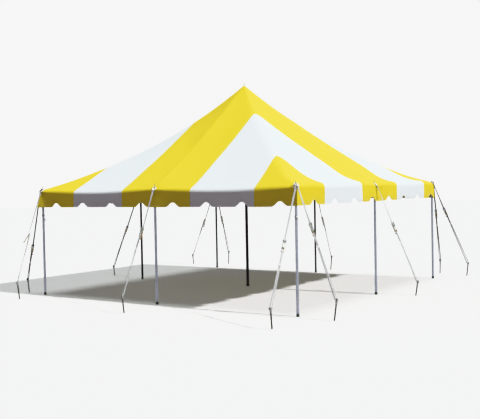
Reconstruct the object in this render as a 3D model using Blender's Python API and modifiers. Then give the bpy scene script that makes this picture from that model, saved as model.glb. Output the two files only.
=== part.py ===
"""Square pole marquee: one centre pole, eight side poles, striped canopy and scalloped valance.

Metres, +Z up. The origin is on the ground under the centre pole. The sides face -Y (front), +X, +Y
and -X, and every pole, strap and stake stands on or ends at the ground plane z = 0.
"""
import math

import bmesh
import bpy
from mathutils import Matrix, Vector

# Canopy roof
HALF_SIDE = 3.05
PIN_LINE = 3.02
PEAK_HEIGHT = 4.33
EAVE_HEIGHT = 2.168
HIP_SAG = 0.28
NEAR_HIP_SAG = 0.15
HIP_SKEW = 0.4
RIDGE_SAG = 0.125
SAG_BLEND = 1.6
EAVE_SAG = 0.06
EAVE_SAG_POWER = 10
EAVE_ROUND_WIDTH = 0.05
EAVE_ROUND_DROP = 0.035
ROOF_THICKNESS = 0.004
INNER_STRIPE = 0.80
OUTER_STRIPE = 2.10
CHEVRON_TIP = 0.002
ROOF_ROWS = (0.15, 0.40, 1.20, 1.65, 2.50, 2.80)
PEAK_HOLE = 0.012
GROMMET_RADIUS = 0.0085

# Valance
HEM_HEIGHT = 1.83
VALANCE_THICKNESS = 0.003
NOTCHES = 8
NOTCH_SPACING = 0.762
NOTCH_HALF_WIDTH = 0.14
NOTCH_HEIGHT = 0.095
NOTCH_STEPS = 8
CUT_DEPTH = 0.02

# Poles
SIDE_POLE_RADIUS = 0.024
SIDE_FOOT_RADIUS = 0.027
FOOT_HEIGHT = 0.05
FOOT_CHAMFER = 0.004
CAP_RADIUS = 0.012
CAP_RISE = 0.024
CAP_SLACK = 0.0009
PIN_RADIUS = 0.006
PIN_STAND = 0.07
CENTRE_POLE_RADIUS = 0.030
CENTRE_FOOT_RADIUS = 0.034
CENTRE_PIN_RADIUS = 0.008
CENTRE_JOINT_HEIGHT = 2.10
SLEEVE_RADIUS = 0.0345
SLEEVE_LENGTH = 0.15
POLE_SIDES = 16
TIE_HEIGHT = 1.64
TIE_WIDTH = 0.024
TIE_THICKNESS = 0.004

# Guy straps, from the eave ring down to the stake
RING_RADIUS = 0.042
RING_WIRE = 0.0045
RING_SEGMENTS = 10
WIRE_SEGMENTS = 4
RING_TILT = math.radians(18)
RING_LIFT = 0.016
RING_STACK = 0.012
WEB_WIDTH = 0.034
WEB_THICKNESS = 0.003
RATCHET_BODY = (0.046, 0.150, 0.022)
RATCHET_BODY_AT = (0, 0.085, 0.001)
RATCHET_HANDLE = (0.054, 0.140, 0.010)
RATCHET_HANDLE_AT = (0, 0.125, 0.016)
SPOOL_RADIUS = 0.014
SPOOL_LENGTH = 0.070
SPOOL_AT = (0, 0.030, 0.009)
GRIP_RADIUS = 0.010
GRIP_LENGTH = 0.062
GRIP_AT = (0, 0.190, 0.018)
RATCHET_BAR = 0.155
WEB_INTO_RATCHET = 0.03
BAR_SIDES = 6
SHORT_WEB_SHARE = 0.14
SHORT_WEB_WIDTH = 0.032
LINK_LENGTH = 0.065
LINK_WIDTH = 0.056
LINK_BAR = 0.010
LOWER_WEB_WIDTH = 0.038
LOWER_WEB_THICKNESS = 0.004
COLLAR_THICKNESS = 0.004
COLLAR_HEIGHT = 0.05
COLLAR_BELOW_TOP = 0.032
STAKE_RADIUS = 0.0125
STAKE_LEAN = 0.15
STAKE_SIDES = 10

# Touching pieces keep this gap
GAP = 0.0003

CORNERS = {
    "front_left": (-1, -1),
    "front_right": (1, -1),
    "back_right": (1, 1),
    "back_left": (-1, 1),
}
MIDDLES = {
    "front_mid": (0, -1),
    "right_mid": (1, 0),
    "back_mid": (0, 1),
    "left_mid": (-1, 0),
}
# Quarter turns from the front side, and from the front right corner
SIDES = {"front": 0, "right": 1, "back": 2, "left": 3}
# How far the stripes and notches of each side lie off its middle at the eave
DRIFTS = (0.06, 0.20, 0.0, 0.0)
CORNER_TURNS = {"front_right": 0, "back_right": 1, "back_left": 2, "front_left": 3}

# Each guy: stake's place on the ground, its height, and the share of the guy above its ratchet
GUYS = {
    "front_left": (((-2.95, -3.75), 0.36, 0.46), ((-3.58, -2.96), 0.31, 0.59)),
    "front_mid": (((0.15, -4.08), 0.33, 0.36),),
    "front_right": (((3.26, -4.20), 0.34, 0.44), ((3.74, -3.11), 0.36, 0.32)),
    "right_mid": (((3.76, 0.19), 0.29, 0.38),),
    "back_right": (((3.515, 3.86), 0.31, 0.28), ((2.78, 4.11), 0.33, 0.32)),
    "back_mid": (((0.03, 3.75), 0.36, 0.42),),
    "back_left": (((-3.32, 3.97), 0.36, 0.42), ((-4.25, 3.57), 0.27, 0.45)),
    "left_mid": (((-4.25, 0.35), 0.25, 0.45),),
}

YELLOW = (0.86, 0.70, 0.02)
WHITE = (0.90, 0.93, 0.95)
STEEL = (0.36, 0.40, 0.44)
WEBBING = (0.78, 0.78, 0.76)
IRON = (0.07, 0.055, 0.045)


def roof_height(x, y):
    """Top of the canopy over a point: straight fall, less the sag, with a rounded eave."""
    out, along = max(abs(x), abs(y)), min(abs(x), abs(y))
    share = along / out if out else 0.0
    run = out / HALF_SIDE
    height = PEAK_HEIGHT - (PEAK_HEIGHT - EAVE_HEIGHT) * min(1.0, out / PIN_LINE)
    bow = 4 * run * (1 - run)
    hip_sag = (NEAR_HIP_SAG if x > 0 > y else HIP_SAG) * (1 + HIP_SKEW * (0.5 - run))
    height -= bow * (RIDGE_SAG + (hip_sag - RIDGE_SAG) * share**SAG_BLEND)
    height -= EAVE_SAG * 4 * share * (1 - share) * run**EAVE_SAG_POWER
    past = max(0.0, out - (HALF_SIDE - EAVE_ROUND_WIDTH)) / EAVE_ROUND_WIDTH
    return height - EAVE_ROUND_DROP * past**2


def material(name, colour, roughness, metallic=0.0):
    made = bpy.data.materials.new(name)
    made.use_nodes = True
    shader = made.node_tree.nodes["Principled BSDF"]
    shader.inputs["Base Color"].default_value = (*colour, 1.0)
    shader.inputs["Roughness"].default_value = roughness
    shader.inputs["Metallic"].default_value = metallic
    return made


def place(bm, name, finish, collection):
    """Turns a bmesh into an object of the collection, and frees it."""
    bmesh.ops.recalc_face_normals(bm, faces=bm.faces[:])
    mesh = bpy.data.meshes.new(name)
    bm.to_mesh(mesh)
    bm.free()
    made = bpy.data.objects.new(name, mesh)
    if finish:
        mesh.materials.append(finish)
    collection.objects.link(made)
    return made


def hide(cutter):
    cutter.hide_render = True
    cutter.display_type = "WIRE"
    return cutter


def boolean(target, other, operation):
    cut = target.modifiers.new(operation.title(), "BOOLEAN")
    cut.operation = operation
    cut.solver = "EXACT"
    cut.use_self = operation == "UNION"
    cut.object = other


def thicken(bm, faces, offset):
    """Closes a sheet of faces into a solid by extruding it along one vector."""
    made = bmesh.ops.extrude_face_region(bm, geom=faces, use_keep_orig=True)
    moved = [item for item in made["geom"] if isinstance(item, bmesh.types.BMVert)]
    bmesh.ops.translate(bm, verts=moved, vec=offset)


def sheet(bm, rows, columns, point):
    """A grid of rows by columns whose vertices lie at point(row value, share across)."""
    grid = bmesh.ops.create_grid(bm, x_segments=columns, y_segments=len(rows) - 1, size=1)
    for vert in grid["verts"]:
        row = round((vert.co.y + 1) / 2 * (len(rows) - 1))
        vert.co = point(rows[row], (vert.co.x + 1) / 2)


def cloth_rows(start):
    """Distances from the centre where a strip has vertices, closer together at the eave."""
    seams = (INNER_STRIPE - GAP / 2, OUTER_STRIPE - GAP / 2)
    eave = (HALF_SIDE - EAVE_ROUND_WIDTH, PIN_LINE, PIN_LINE + CAP_RADIUS, HALF_SIDE)
    later = sorted((*ROOF_ROWS, *seams, *eave))
    return [start, *(out for out in later if out > start + 10 * CHEVRON_TIP)]


def seam(line, drift, out):
    """Where a stripe's edge lies on a side: on its line at the hip, off it by the drift at the eave."""
    return line + drift * max(0.0, out - abs(line)) / (HALF_SIDE - abs(line))


def cloth_strip(bm, start, stations, columns, turn):
    """One cloth strip of a side: stations(out) gives its ends, and any fixed place between them.

    The last row is the hem, straight down from the eave. The strip is made on the front side and
    turned about the centre pole.
    """
    rows = [*cloth_rows(start), None]

    def point(out, share):
        reach = out or HALF_SIDE
        places = stations(reach)
        spans = len(places) - 1
        span = min(int(share * spans), spans - 1)
        x = places[span] + (places[span + 1] - places[span]) * (share * spans - span)
        spot = turn @ Vector((x, -reach, 0))
        spot.z = roof_height(spot.x, spot.y) if out else HEM_HEIGHT
        return spot

    sheet(bm, rows, columns, point)


def close_cloth(bm):
    """Welds the strips of one piece where they meet, and gives the cloth its thickness."""
    bmesh.ops.remove_doubles(bm, verts=bm.verts[:], dist=GAP / 10)
    made = bmesh.ops.extrude_face_region(bm, geom=bm.faces[:], use_keep_orig=True)
    inside = HALF_SIDE - VALANCE_THICKNESS
    for vert in made["geom"]:
        if isinstance(vert, bmesh.types.BMVert):
            if vert.co.z > HEM_HEIGHT + GAP:
                vert.co.z -= ROOF_THICKNESS
            vert.co.x = max(-inside, min(inside, vert.co.x))
            vert.co.y = max(-inside, min(inside, vert.co.y))


def quarter_turn(count):
    return Matrix.Rotation(count * math.pi / 2, 3, "Z")


def make_canopy(yellow, white, parts, cutters):
    """Twelve cloth pieces, roof and valance in one: a centre strip on each side, and a white and
    a yellow chevron over each corner."""
    cuts = make_canopy_cuts(cutters)
    finished = []
    for name, turn in SIDES.items():
        bm = bmesh.new()
        cloth_strip(bm, PEAK_HOLE, centre_strip(DRIFTS[turn]), 6, quarter_turn(turn))
        close_cloth(bm)
        finished.append(place(bm, f"canopy_centre_{name}", yellow, parts))
    chevrons = (
        ("white", white, INNER_STRIPE, OUTER_STRIPE, 4),
        ("corner", yellow, OUTER_STRIPE, 2 * HALF_SIDE, 3),
    )
    for name, turn in CORNER_TURNS.items():
        for kind, finish, inner, outer, columns in chevrons:
            bm = bmesh.new()
            for sign, side in ((1, turn), (-1, (turn + 1) % 4)):
                strip = chevron_half(inner, outer, sign, DRIFTS[side])
                cloth_strip(bm, inner + CHEVRON_TIP, strip, columns, quarter_turn(side))
            close_cloth(bm)
            finished.append(place(bm, f"canopy_{kind}_{name}", finish, parts))
    for made in finished:
        boolean(made, cuts, "DIFFERENCE")


def centre_strip(drift):
    """Stations of a centre strip: hip or seam, the middle pole, seam or hip."""

    def stations(out):
        half = min(INNER_STRIPE, out) - GAP / 2
        lean = seam(INNER_STRIPE, drift, out) - INNER_STRIPE
        return lean - half, 0.0, lean + half

    return stations


def chevron_half(inner, outer, sign, drift):
    """Stations of the half of a chevron on one side: its inner seam, then its outer seam or the hip."""

    def stations(out):
        near = sign * seam(sign * inner, drift, out) + GAP / 2
        far = sign * seam(sign * outer, drift, out) - GAP / 2
        return sign * near, sign * min(far, out)

    return stations


def make_canopy_cuts(cutters):
    """Grommet holes for the eight side pins, and the bell-shaped notches in the hem."""
    bm = bmesh.new()
    for side_x, side_y in (*CORNERS.values(), *MIDDLES.values()):
        centre = Vector((side_x * PIN_LINE, side_y * PIN_LINE, EAVE_HEIGHT))
        add_cylinder(bm, centre, GROMMET_RADIUS, 0.1, 12)
    for turn in range(4):
        for count in range(-NOTCHES // 2, NOTCHES // 2):
            add_notch(bm, DRIFTS[turn] + (count + 0.5) * NOTCH_SPACING, quarter_turn(turn))
    return hide(place(bm, "canopy_cuts", None, cutters))


def add_notch(bm, centre, turn):
    """A prism with a bell-shaped outline across the front valance, turned to another side."""
    outline = [(centre + NOTCH_HALF_WIDTH, -CUT_DEPTH), (centre - NOTCH_HALF_WIDTH, -CUT_DEPTH)]
    for step in range(NOTCH_STEPS + 1):
        away = NOTCH_HALF_WIDTH * (2 * step / NOTCH_STEPS - 1)
        rise = NOTCH_HEIGHT * (1 + math.cos(math.pi * away / NOTCH_HALF_WIDTH)) / 2
        outline.append((centre + away, rise))
    places = (Vector((x, -HALF_SIDE - CUT_DEPTH, HEM_HEIGHT + z)) for x, z in outline)
    verts = [bm.verts.new(turn @ spot) for spot in places]
    face = bm.faces.new(verts)
    thicken(bm, [face], turn @ Vector((0, 2 * CUT_DEPTH, 0)))


def add_cylinder(bm, centre, radius, height, sides, turn=None):
    spin = turn.to_4x4() if turn else Matrix.Identity(4)
    made = bmesh.ops.create_cone(
        bm, cap_ends=True, segments=sides, radius1=radius, radius2=radius, depth=height,
        matrix=Matrix.Translation(centre) @ spin,
    )
    return made["verts"]


def add_box(bm, centre, size, turn):
    scale = Matrix.Diagonal((*size, 1))
    bmesh.ops.create_cube(bm, size=1, matrix=Matrix.Translation(centre) @ turn.to_4x4() @ scale)


def turned(name, profile, sides, finish, collection):
    """A solid of revolution: profile runs from the top of the axis down the outside to its foot."""
    bm = bmesh.new()
    verts = [bm.verts.new((radius, 0, height)) for radius, height in profile]
    for upper, lower in zip(verts, verts[1:]):
        bm.edges.new((upper, lower))
    mesh = bpy.data.meshes.new(name)
    bm.to_mesh(mesh)
    bm.free()
    mesh.materials.append(finish)
    made = bpy.data.objects.new(name, mesh)
    collection.objects.link(made)
    screw = made.modifiers.new("Turn", "SCREW")
    screw.steps = screw.render_steps = sides
    screw.use_merge_vertices = True
    screw.merge_threshold = 0.00005
    return made


def cap_seat(x, y, outward):
    """Height of a pole's cap: just under the cloth at the cap's outermost point.

    The slack is the cloth's fall from the pin to the cap's two sides.
    """
    edge = Vector((x, y)) + outward * CAP_RADIUS
    return roof_height(edge.x, edge.y) - ROOF_THICKNESS - GAP - CAP_SLACK


def make_poles(steel, parts):
    for name, (side_x, side_y) in {**CORNERS, **MIDDLES}.items():
        x, y = side_x * PIN_LINE, side_y * PIN_LINE
        reach = Vector((side_x, side_y))
        seat = cap_seat(x, y, reach)
        profile = (
            (0, EAVE_HEIGHT + PIN_STAND),
            (PIN_RADIUS, EAVE_HEIGHT + PIN_STAND),
            (PIN_RADIUS, seat),
            (CAP_RADIUS, seat),
            (SIDE_POLE_RADIUS, seat - CAP_RISE),
            (SIDE_POLE_RADIUS, FOOT_HEIGHT),
            (SIDE_FOOT_RADIUS, FOOT_HEIGHT - FOOT_CHAMFER),
            (SIDE_FOOT_RADIUS, 0),
            (0, 0),
        )
        made = turned(f"side_pole_{name}", profile, POLE_SIDES, steel, parts)
        made.location = (x, y, 0)
    seat = roof_height(CAP_RADIUS, 0) - ROOF_THICKNESS - GAP
    upper = (
        (0, PEAK_HEIGHT + PIN_STAND),
        (CENTRE_PIN_RADIUS, PEAK_HEIGHT + PIN_STAND),
        (CENTRE_PIN_RADIUS, seat),
        (CAP_RADIUS, seat),
        (CENTRE_POLE_RADIUS, seat - CAP_RISE),
        (CENTRE_POLE_RADIUS, CENTRE_JOINT_HEIGHT + SLEEVE_LENGTH),
        (SLEEVE_RADIUS, CENTRE_JOINT_HEIGHT + SLEEVE_LENGTH - FOOT_CHAMFER),
        (SLEEVE_RADIUS, CENTRE_JOINT_HEIGHT + GAP),
        (0, CENTRE_JOINT_HEIGHT + GAP),
    )
    lower = (
        (0, CENTRE_JOINT_HEIGHT),
        (CENTRE_POLE_RADIUS, CENTRE_JOINT_HEIGHT),
        (CENTRE_POLE_RADIUS, FOOT_HEIGHT),
        (CENTRE_FOOT_RADIUS, FOOT_HEIGHT - FOOT_CHAMFER),
        (CENTRE_FOOT_RADIUS, 0),
        (0, 0),
    )
    turned("centre_pole_upper", upper, POLE_SIDES, steel, parts)
    turned("centre_pole_lower", lower, POLE_SIDES, steel, parts)


def make_ties(webbing, parts, cutters):
    """Webbing bands round the two front corner poles."""
    for name in ("front_left", "front_right"):
        bm, bore = bmesh.new(), bmesh.new()
        side_x, side_y = CORNERS[name]
        centre = Vector((side_x * PIN_LINE, side_y * PIN_LINE, TIE_HEIGHT))
        add_cylinder(bm, centre, SIDE_POLE_RADIUS + TIE_THICKNESS, TIE_WIDTH, POLE_SIDES)
        add_cylinder(bore, centre, SIDE_POLE_RADIUS + 2 * GAP, 2 * TIE_WIDTH, POLE_SIDES)
        tie = place(bm, f"pole_tie_{name}", webbing, parts)
        boolean(tie, hide(place(bore, f"tie_bore_{name}", None, cutters)), "DIFFERENCE")


def guy_line(pole, stake, height, level):
    """Where one guy runs: its ring on the pin, its end on the stake's axis, and its directions.

    level is 0 for the lower ring on a pin and 1 for the one that lies on it.
    """
    side_x, side_y = {**CORNERS, **MIDDLES}[pole]
    pin = Vector((side_x * PIN_LINE, side_y * PIN_LINE, 0))
    foot = Vector((*stake, 0))
    bearing = (foot - pin).normalized()
    inner = pin - bearing * (PIN_RADIUS + RING_WIRE + GAP)
    inner.z = roof_height(pin.x, pin.y) + RING_LIFT + level * RING_STACK
    fall = bearing * math.cos(RING_TILT) - Vector((0, 0, math.sin(RING_TILT)))
    centre = inner + fall * RING_RADIUS
    grip = height - COLLAR_BELOW_TOP
    end = foot + bearing * STAKE_LEAN * grip + Vector((0, 0, grip))
    top = centre + fall * RING_RADIUS
    down = (end - top).normalized()
    across = Vector((0, 0, 1)).cross(bearing)
    ring = {"ring": centre, "fall": fall, "top": top}
    return {**ring, "end": end, "down": down, "across": across, "bearing": bearing}


def add_ring(bm, line):
    """The steel ring hooked over the pin, hanging outwards."""
    normal = line["fall"].cross(line["across"])
    turn = Matrix((line["fall"], line["across"], normal)).transposed()
    bpy.ops.mesh.primitive_torus_add(
        major_radius=RING_RADIUS, minor_radius=RING_WIRE,
        major_segments=RING_SEGMENTS, minor_segments=WIRE_SEGMENTS,
    )
    torus = bpy.context.object
    mesh = torus.data
    mesh.transform(Matrix.Translation(line["ring"]) @ turn.to_4x4())
    bm.from_mesh(mesh)
    bpy.data.objects.remove(torus)
    bpy.data.meshes.remove(mesh)


def add_web(bm, start, end, turn, width, thickness):
    """A straight run of webbing between two points."""
    add_box(bm, (start + end) / 2, (width, (end - start).length, thickness), turn)


def add_ratchet(bm, start, turn):
    """A closed ratchet buckle: body, spool across its head, and a handle folded down with its grip.

    In its own axes X is across the webbing, Y along it from start, and Z away from it.
    """
    across = turn @ Matrix.Rotation(math.pi / 2, 3, "Y")
    for size, at in ((RATCHET_BODY, RATCHET_BODY_AT), (RATCHET_HANDLE, RATCHET_HANDLE_AT)):
        add_box(bm, start + turn @ Vector(at), size, turn)
    bars = ((SPOOL_RADIUS, SPOOL_LENGTH, SPOOL_AT), (GRIP_RADIUS, GRIP_LENGTH, GRIP_AT))
    for radius, length, at in bars:
        add_cylinder(bm, start + turn @ Vector(at), radius, length, BAR_SIDES, across)


def make_guys(webbing, parts, cutters):
    """Twelve guys, each fused from its ring, webbing, ratchet, link and collar on the stake."""
    for pole, guys in GUYS.items():
        for count, (stake, height, share) in enumerate(guys):
            name = guy_name(pole, count)
            line = guy_line(pole, stake, height, count)
            top, end, down, across = (line[key] for key in ("top", "end", "down", "across"))
            face = across.cross(down)
            turn = Matrix((across, down, face)).transposed()
            span = (end - top).length
            pieces, collar, bore = bmesh.new(), bmesh.new(), bmesh.new()
            add_ring(pieces, line)
            spool = top + down * (share * span)
            add_web(pieces, top, spool + down * WEB_INTO_RATCHET, turn, WEB_WIDTH, WEB_THICKNESS)
            add_ratchet(pieces, spool, turn)
            bar = spool + down * RATCHET_BAR
            link = bar + down * (SHORT_WEB_SHARE * span)
            add_web(pieces, bar, link, turn, SHORT_WEB_WIDTH, WEB_THICKNESS)
            add_box(pieces, link, (LINK_WIDTH, LINK_LENGTH, LINK_BAR), turn)
            add_web(pieces, link, end, turn, LOWER_WEB_WIDTH, LOWER_WEB_THICKNESS)
            bearing, outside = line["bearing"], STAKE_RADIUS + COLLAR_THICKNESS
            add_leaning(collar, stake, bearing, end.z, COLLAR_HEIGHT, outside)
            add_leaning(bore, stake, bearing, end.z, 3 * COLLAR_HEIGHT, STAKE_RADIUS + 2 * GAP)
            guy = place(collar, f"guy_{name}", webbing, parts)
            boolean(guy, hide(place(pieces, f"webs_{name}", None, cutters)), "UNION")
            boolean(guy, hide(place(bore, f"stake_bore_{name}", None, cutters)), "DIFFERENCE")


def guy_name(pole, count):
    return pole if pole in MIDDLES else f"{pole}_{'ab'[count]}"


def add_leaning(bm, stake, bearing, level, height, radius):
    """A cylinder with level ends on a stake's leaning axis, centred at a level."""
    verts = add_cylinder(bm, Vector((*stake, level)), radius, height, STAKE_SIDES)
    for vert in verts:
        vert.co += bearing * STAKE_LEAN * vert.co.z


def make_stakes(iron, parts):
    """Twelve round stakes that lean away from the tent, cut off at the ground."""
    for pole, guys in GUYS.items():
        for count, (stake, height, _) in enumerate(guys):
            bm = bmesh.new()
            bearing = guy_line(pole, stake, height, count)["bearing"]
            add_leaning(bm, stake, bearing, height / 2, height, STAKE_RADIUS)
            place(bm, f"stake_{guy_name(pole, count)}", iron, parts)


def main():
    for old in list(bpy.data.objects):
        bpy.data.objects.remove(old)
    parts = bpy.data.collections.new("marquee_tent")
    cutters = bpy.data.collections.new("cutters")
    for collection in (parts, cutters):
        bpy.context.scene.collection.children.link(collection)
    yellow = material("yellow_vinyl", YELLOW, 0.45)
    white = material("white_vinyl", WHITE, 0.45)
    steel = material("galvanised_steel", STEEL, 0.4, 0.9)
    webbing = material("white_webbing", WEBBING, 0.8)
    iron = material("stake_iron", IRON, 0.6, 0.6)
    make_canopy(yellow, white, parts, cutters)
    make_poles(steel, parts)
    make_ties(webbing, parts, cutters)
    make_guys(webbing, parts, cutters)
    make_stakes(iron, parts)


main()
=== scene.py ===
"""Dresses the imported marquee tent: striped cloth, trim, poles, guys, stakes, light and camera."""

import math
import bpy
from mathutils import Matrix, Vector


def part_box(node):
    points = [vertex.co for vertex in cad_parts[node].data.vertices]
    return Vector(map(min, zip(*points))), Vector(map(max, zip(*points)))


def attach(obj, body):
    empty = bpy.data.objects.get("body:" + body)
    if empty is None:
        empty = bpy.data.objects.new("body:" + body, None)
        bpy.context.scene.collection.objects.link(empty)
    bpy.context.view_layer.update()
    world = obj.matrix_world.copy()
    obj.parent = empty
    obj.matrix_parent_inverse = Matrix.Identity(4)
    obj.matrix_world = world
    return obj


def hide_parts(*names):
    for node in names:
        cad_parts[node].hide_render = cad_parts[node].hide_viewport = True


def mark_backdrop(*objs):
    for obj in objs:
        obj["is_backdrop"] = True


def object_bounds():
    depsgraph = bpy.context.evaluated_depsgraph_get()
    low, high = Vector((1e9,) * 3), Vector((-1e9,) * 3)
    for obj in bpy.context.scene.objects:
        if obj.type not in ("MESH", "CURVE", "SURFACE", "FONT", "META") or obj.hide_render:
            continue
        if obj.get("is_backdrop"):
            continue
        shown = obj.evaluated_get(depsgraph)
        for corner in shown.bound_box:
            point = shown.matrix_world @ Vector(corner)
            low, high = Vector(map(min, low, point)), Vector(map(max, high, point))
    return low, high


bl_info = {
    "name": "Marquee tent dressing",
    "version": (1, 0, 0),
    "blender": (4, 5, 0),
    "location": "View3D > Sidebar > Marquee",
    "description": "Builds the visible pieces of a striped pole marquee over its packed solids",
    "category": "Object",
}

import bmesh
import bpy
import numpy as np
from bpy.props import FloatProperty, FloatVectorProperty, IntProperty, PointerProperty
from mathutils import Matrix, Vector

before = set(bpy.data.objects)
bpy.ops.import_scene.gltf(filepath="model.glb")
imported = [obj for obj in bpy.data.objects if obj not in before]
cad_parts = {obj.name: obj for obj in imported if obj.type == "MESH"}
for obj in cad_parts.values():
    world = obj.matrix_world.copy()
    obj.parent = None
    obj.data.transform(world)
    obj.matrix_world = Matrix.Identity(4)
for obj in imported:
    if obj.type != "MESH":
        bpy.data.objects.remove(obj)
CAD_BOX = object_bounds()

# Canopy form, as in the part's source. Rows of four are for the front, right, back and left side
HALF_SIDE = 3.05
PIN_LINE = 3.02
PEAK_HEIGHT = 4.33
EAVE_HEIGHT = 2.168
HIP_SAG = 0.28
NEAR_HIP_SAG = 0.15
HIP_SKEW = 0.4
RIDGE_SAG = 0.125
SAG_BLEND = 1.6
EAVE_SAG = 0.06
EAVE_SAG_POWER = 10
EAVE_ROUND_WIDTH = 0.05
EAVE_ROUND_DROP = 0.035
HEM_HEIGHT = 1.83
DRIFTS = (0.06, 0.20, 0.0, 0.0)

# Stripes: their edges in the flat cloth, and how far each has moved at the eave of every side
INNER_STRIPE = 0.76
OUTER_STRIPE = 2.06
STRIPE_EDGES = (-OUTER_STRIPE, -INNER_STRIPE, INNER_STRIPE, OUTER_STRIPE)
SEAM_LEANS = (
    (-0.03, -0.04, 0.086, 0.16), (-0.02, 0.15, 0.24, 0.41),
    (-0.04, -0.04, 0.04, 0.04), (-0.04, -0.04, 0.04, 0.04),
)
TIP_ROUND = 0.05
LAP_HALF_WIDTH = 0.016
STITCH_ROW_OFFSET = 0.012

# Roof and eave. STATION_STEPS gives the mesh's columns: how many up to each place along a side.
# EAVE_LIFTS gives the height and reach of the crown along the eave, and the hollow inside it
STATION_STEPS = (
    (0.241, 6), (0.521, 9), (INNER_STRIPE, 7), (1.003, 6), (1.283, 9), (1.765, 10), (OUTER_STRIPE, 9),
    (2.527, 10), (2.807, 8), (2.93, 3), (3.00, 5), (3.035, 5), (3.046, 3), (HALF_SIDE, 2),
)
HIP_ROUND = 0.03
NEAR_HIP_ROUND = 0.18
HIP_DIP = 0.72
EAVE_ROLLS = (0.034, 0.070, 0.040, 0.040)
EAVE_LIFTS = ((0.020, 0.15, 0.005), (0.095, 0.16, 0.035), (0.040, 0.14, 0.015), (0.040, 0.14, 0.015))
PINNED_REACH = 0.5
HOLLOW_INSET = 0.42
HOLLOW_SPREAD = 0.25
RIDGE_CREST = 0.030
CREST_SPREAD = 0.20
BAY_SHARE = 0.35
PUCKER = 0.005
PUCKER_RAYS = 11
PUCKER_REACH = 0.30
PUCKER_CORE = 0.06

# Valance. FOLDS gives each side's folds at its left, middle and right pin: depth as a share of the
# setting, reach to the left and right for each unit of drop, and the draw of the cloth beside it
VALANCE_ROWS = 10
VALANCE_DROP = 0.30
NOTCH_CENTRES = (0.381, 1.143, 1.905, 2.667)
NOTCH_HALF_WIDTH = 0.15
NOTCH_TOP = 0.035
NOTCH_HEIGHT = 0.082
FOLDS = (
    ((1.20, 0.20, 0.25, 0.45), (0.36, 0.09, 0.34, 0.2), (0.05, 0.30, 0.20, 0.2)),
    ((0.05, 0.20, 0.30, 0.2), (0.20, 0.20, 0.30, 0.2), (0.35, 0.30, 0.20, 0.5)),
    ((0.35, 0.20, 0.30, 0.5), (0.50, 0.30, 0.15, 0.4), (0.60, 0.30, 0.20, 0.5)),
    ((0.60, 0.20, 0.30, 0.5), (0.60, 0.20, 0.34, 0.4), (1.20, 0.25, 0.20, 0.45)),
)
HEM_DROP = 0.020
HEM_DROP_REACH = 0.6
CORNER_RAMP = 0.18

# Trim. TAPE_STOP is how many columns short of a corner the eave's tape ends
THREAD_LIFT = 0.0010
HEM_STITCH_RISES = (0.019, 0.026)
BINDING_RISE = 0.004
HIP_TAPE_WIDTH = 0.042
HIP_TAPE_DROP = 0.020
NEAR_HIP_TAPE_DROP = 0.028
EAVE_TAPE_WIDTH = 0.025
TAPE_STOP = 3
EYELET_PLAY = 0.002

# Poles
SIDE_POLE_RADIUS = 0.024
SIDE_FOOT_RADIUS = 0.027
FOOT_HEIGHT = 0.05
CAP_RADIUS = 0.012
CAP_RISE = 0.024
SIDE_SEAT_DROP = 0.0052
PIN_RADIUS = 0.006
PIN_STAND = 0.07
PIN_ROOT = 0.004
CENTRE_POLE_RADIUS = 0.030
CENTRE_FOOT_RADIUS = 0.034
CENTRE_SEAT_DROP = 0.0043
CENTRE_PIN_RADIUS = 0.008
CENTRE_JOINT_HEIGHT = 2.10
SLEEVE_RADIUS = 0.0345
SLEEVE_LENGTH = 0.15
SLEEVE_BOLTS = (0.045, 0.105)
# Poles whose tube takes the darker shaded colour: painted shade, for the poles that stand in the canopy's
# shade.
SHADED_POLES = ("back_left", "back_mid", "left_mid")

# Ties: how far each one's loose end hangs
TIE_HEIGHT = 1.64
TIE_WIDTH = 0.024
TIE_THICKNESS = 0.0016
TIE_TURNS = 2.25
TIE_TAILS = {"front_left": 0.10, "front_right": 0.035}

# Guys and stakes
RING_RADIUS = 0.042
RING_WIRE = 0.0045
RING_OVAL = 0.78
RING_LIFT = 0.021
RING_STACK = 0.018
RING_TURN = 0.5
RING_TILT_STEP = 0.08
SLEEVE_WIRE = 0.0112
SLEEVE_ARC = math.radians(296)
WEB_THICKNESS = 0.003
STRAP_TAIL = 0.11
SHORT_WEB_SHARE = 0.14
LINK_SIZE = (0.022, 0.013)
LINK_WIRE = 0.0038
SLING_WIDTH = 0.019
WRAP_WIDTH = 0.021
WRAP_TURNS = 3.1
COLLAR_BELOW_TOP = 0.032
STAKE_RADIUS = 0.0125
STAKE_LEAN = 0.15
FRESH_WEBBING = (0.86, 0.88, 0.90)

# Ratchet, in its own axes: X across the strap, Y down it and Z outwards. The outlines of its plates
# are given as -Z and Y
RATCHET_STRETCH = 1.2
RATCHET_BAR = 0.155
SPOOL_AT = (0.030, 0.009)
WHEEL_RADIUS = 0.0150
WHEEL_TEETH = 13
REEL_TURNS = 3.4
PLATE = 0.0024
FRAME_PLATE = (
    (0.010, 0.0), (-0.011, -0.004), (-0.020, 0.010), (-0.023, 0.030), (-0.018, 0.048), (-0.009, 0.062),
    (-0.008, 0.140), (-0.005, 0.163), (0.008, 0.163), (0.011, 0.140), (0.011, 0.020),
)
HANDLE_PLATE = (
    (-0.010, 0.016), (-0.021, 0.014), (-0.026, 0.030), (-0.024, 0.052), (-0.022, 0.140), (-0.027, 0.185),
    (-0.024, 0.198), (-0.015, 0.198), (-0.012, 0.180), (-0.013, 0.060),
)

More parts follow.
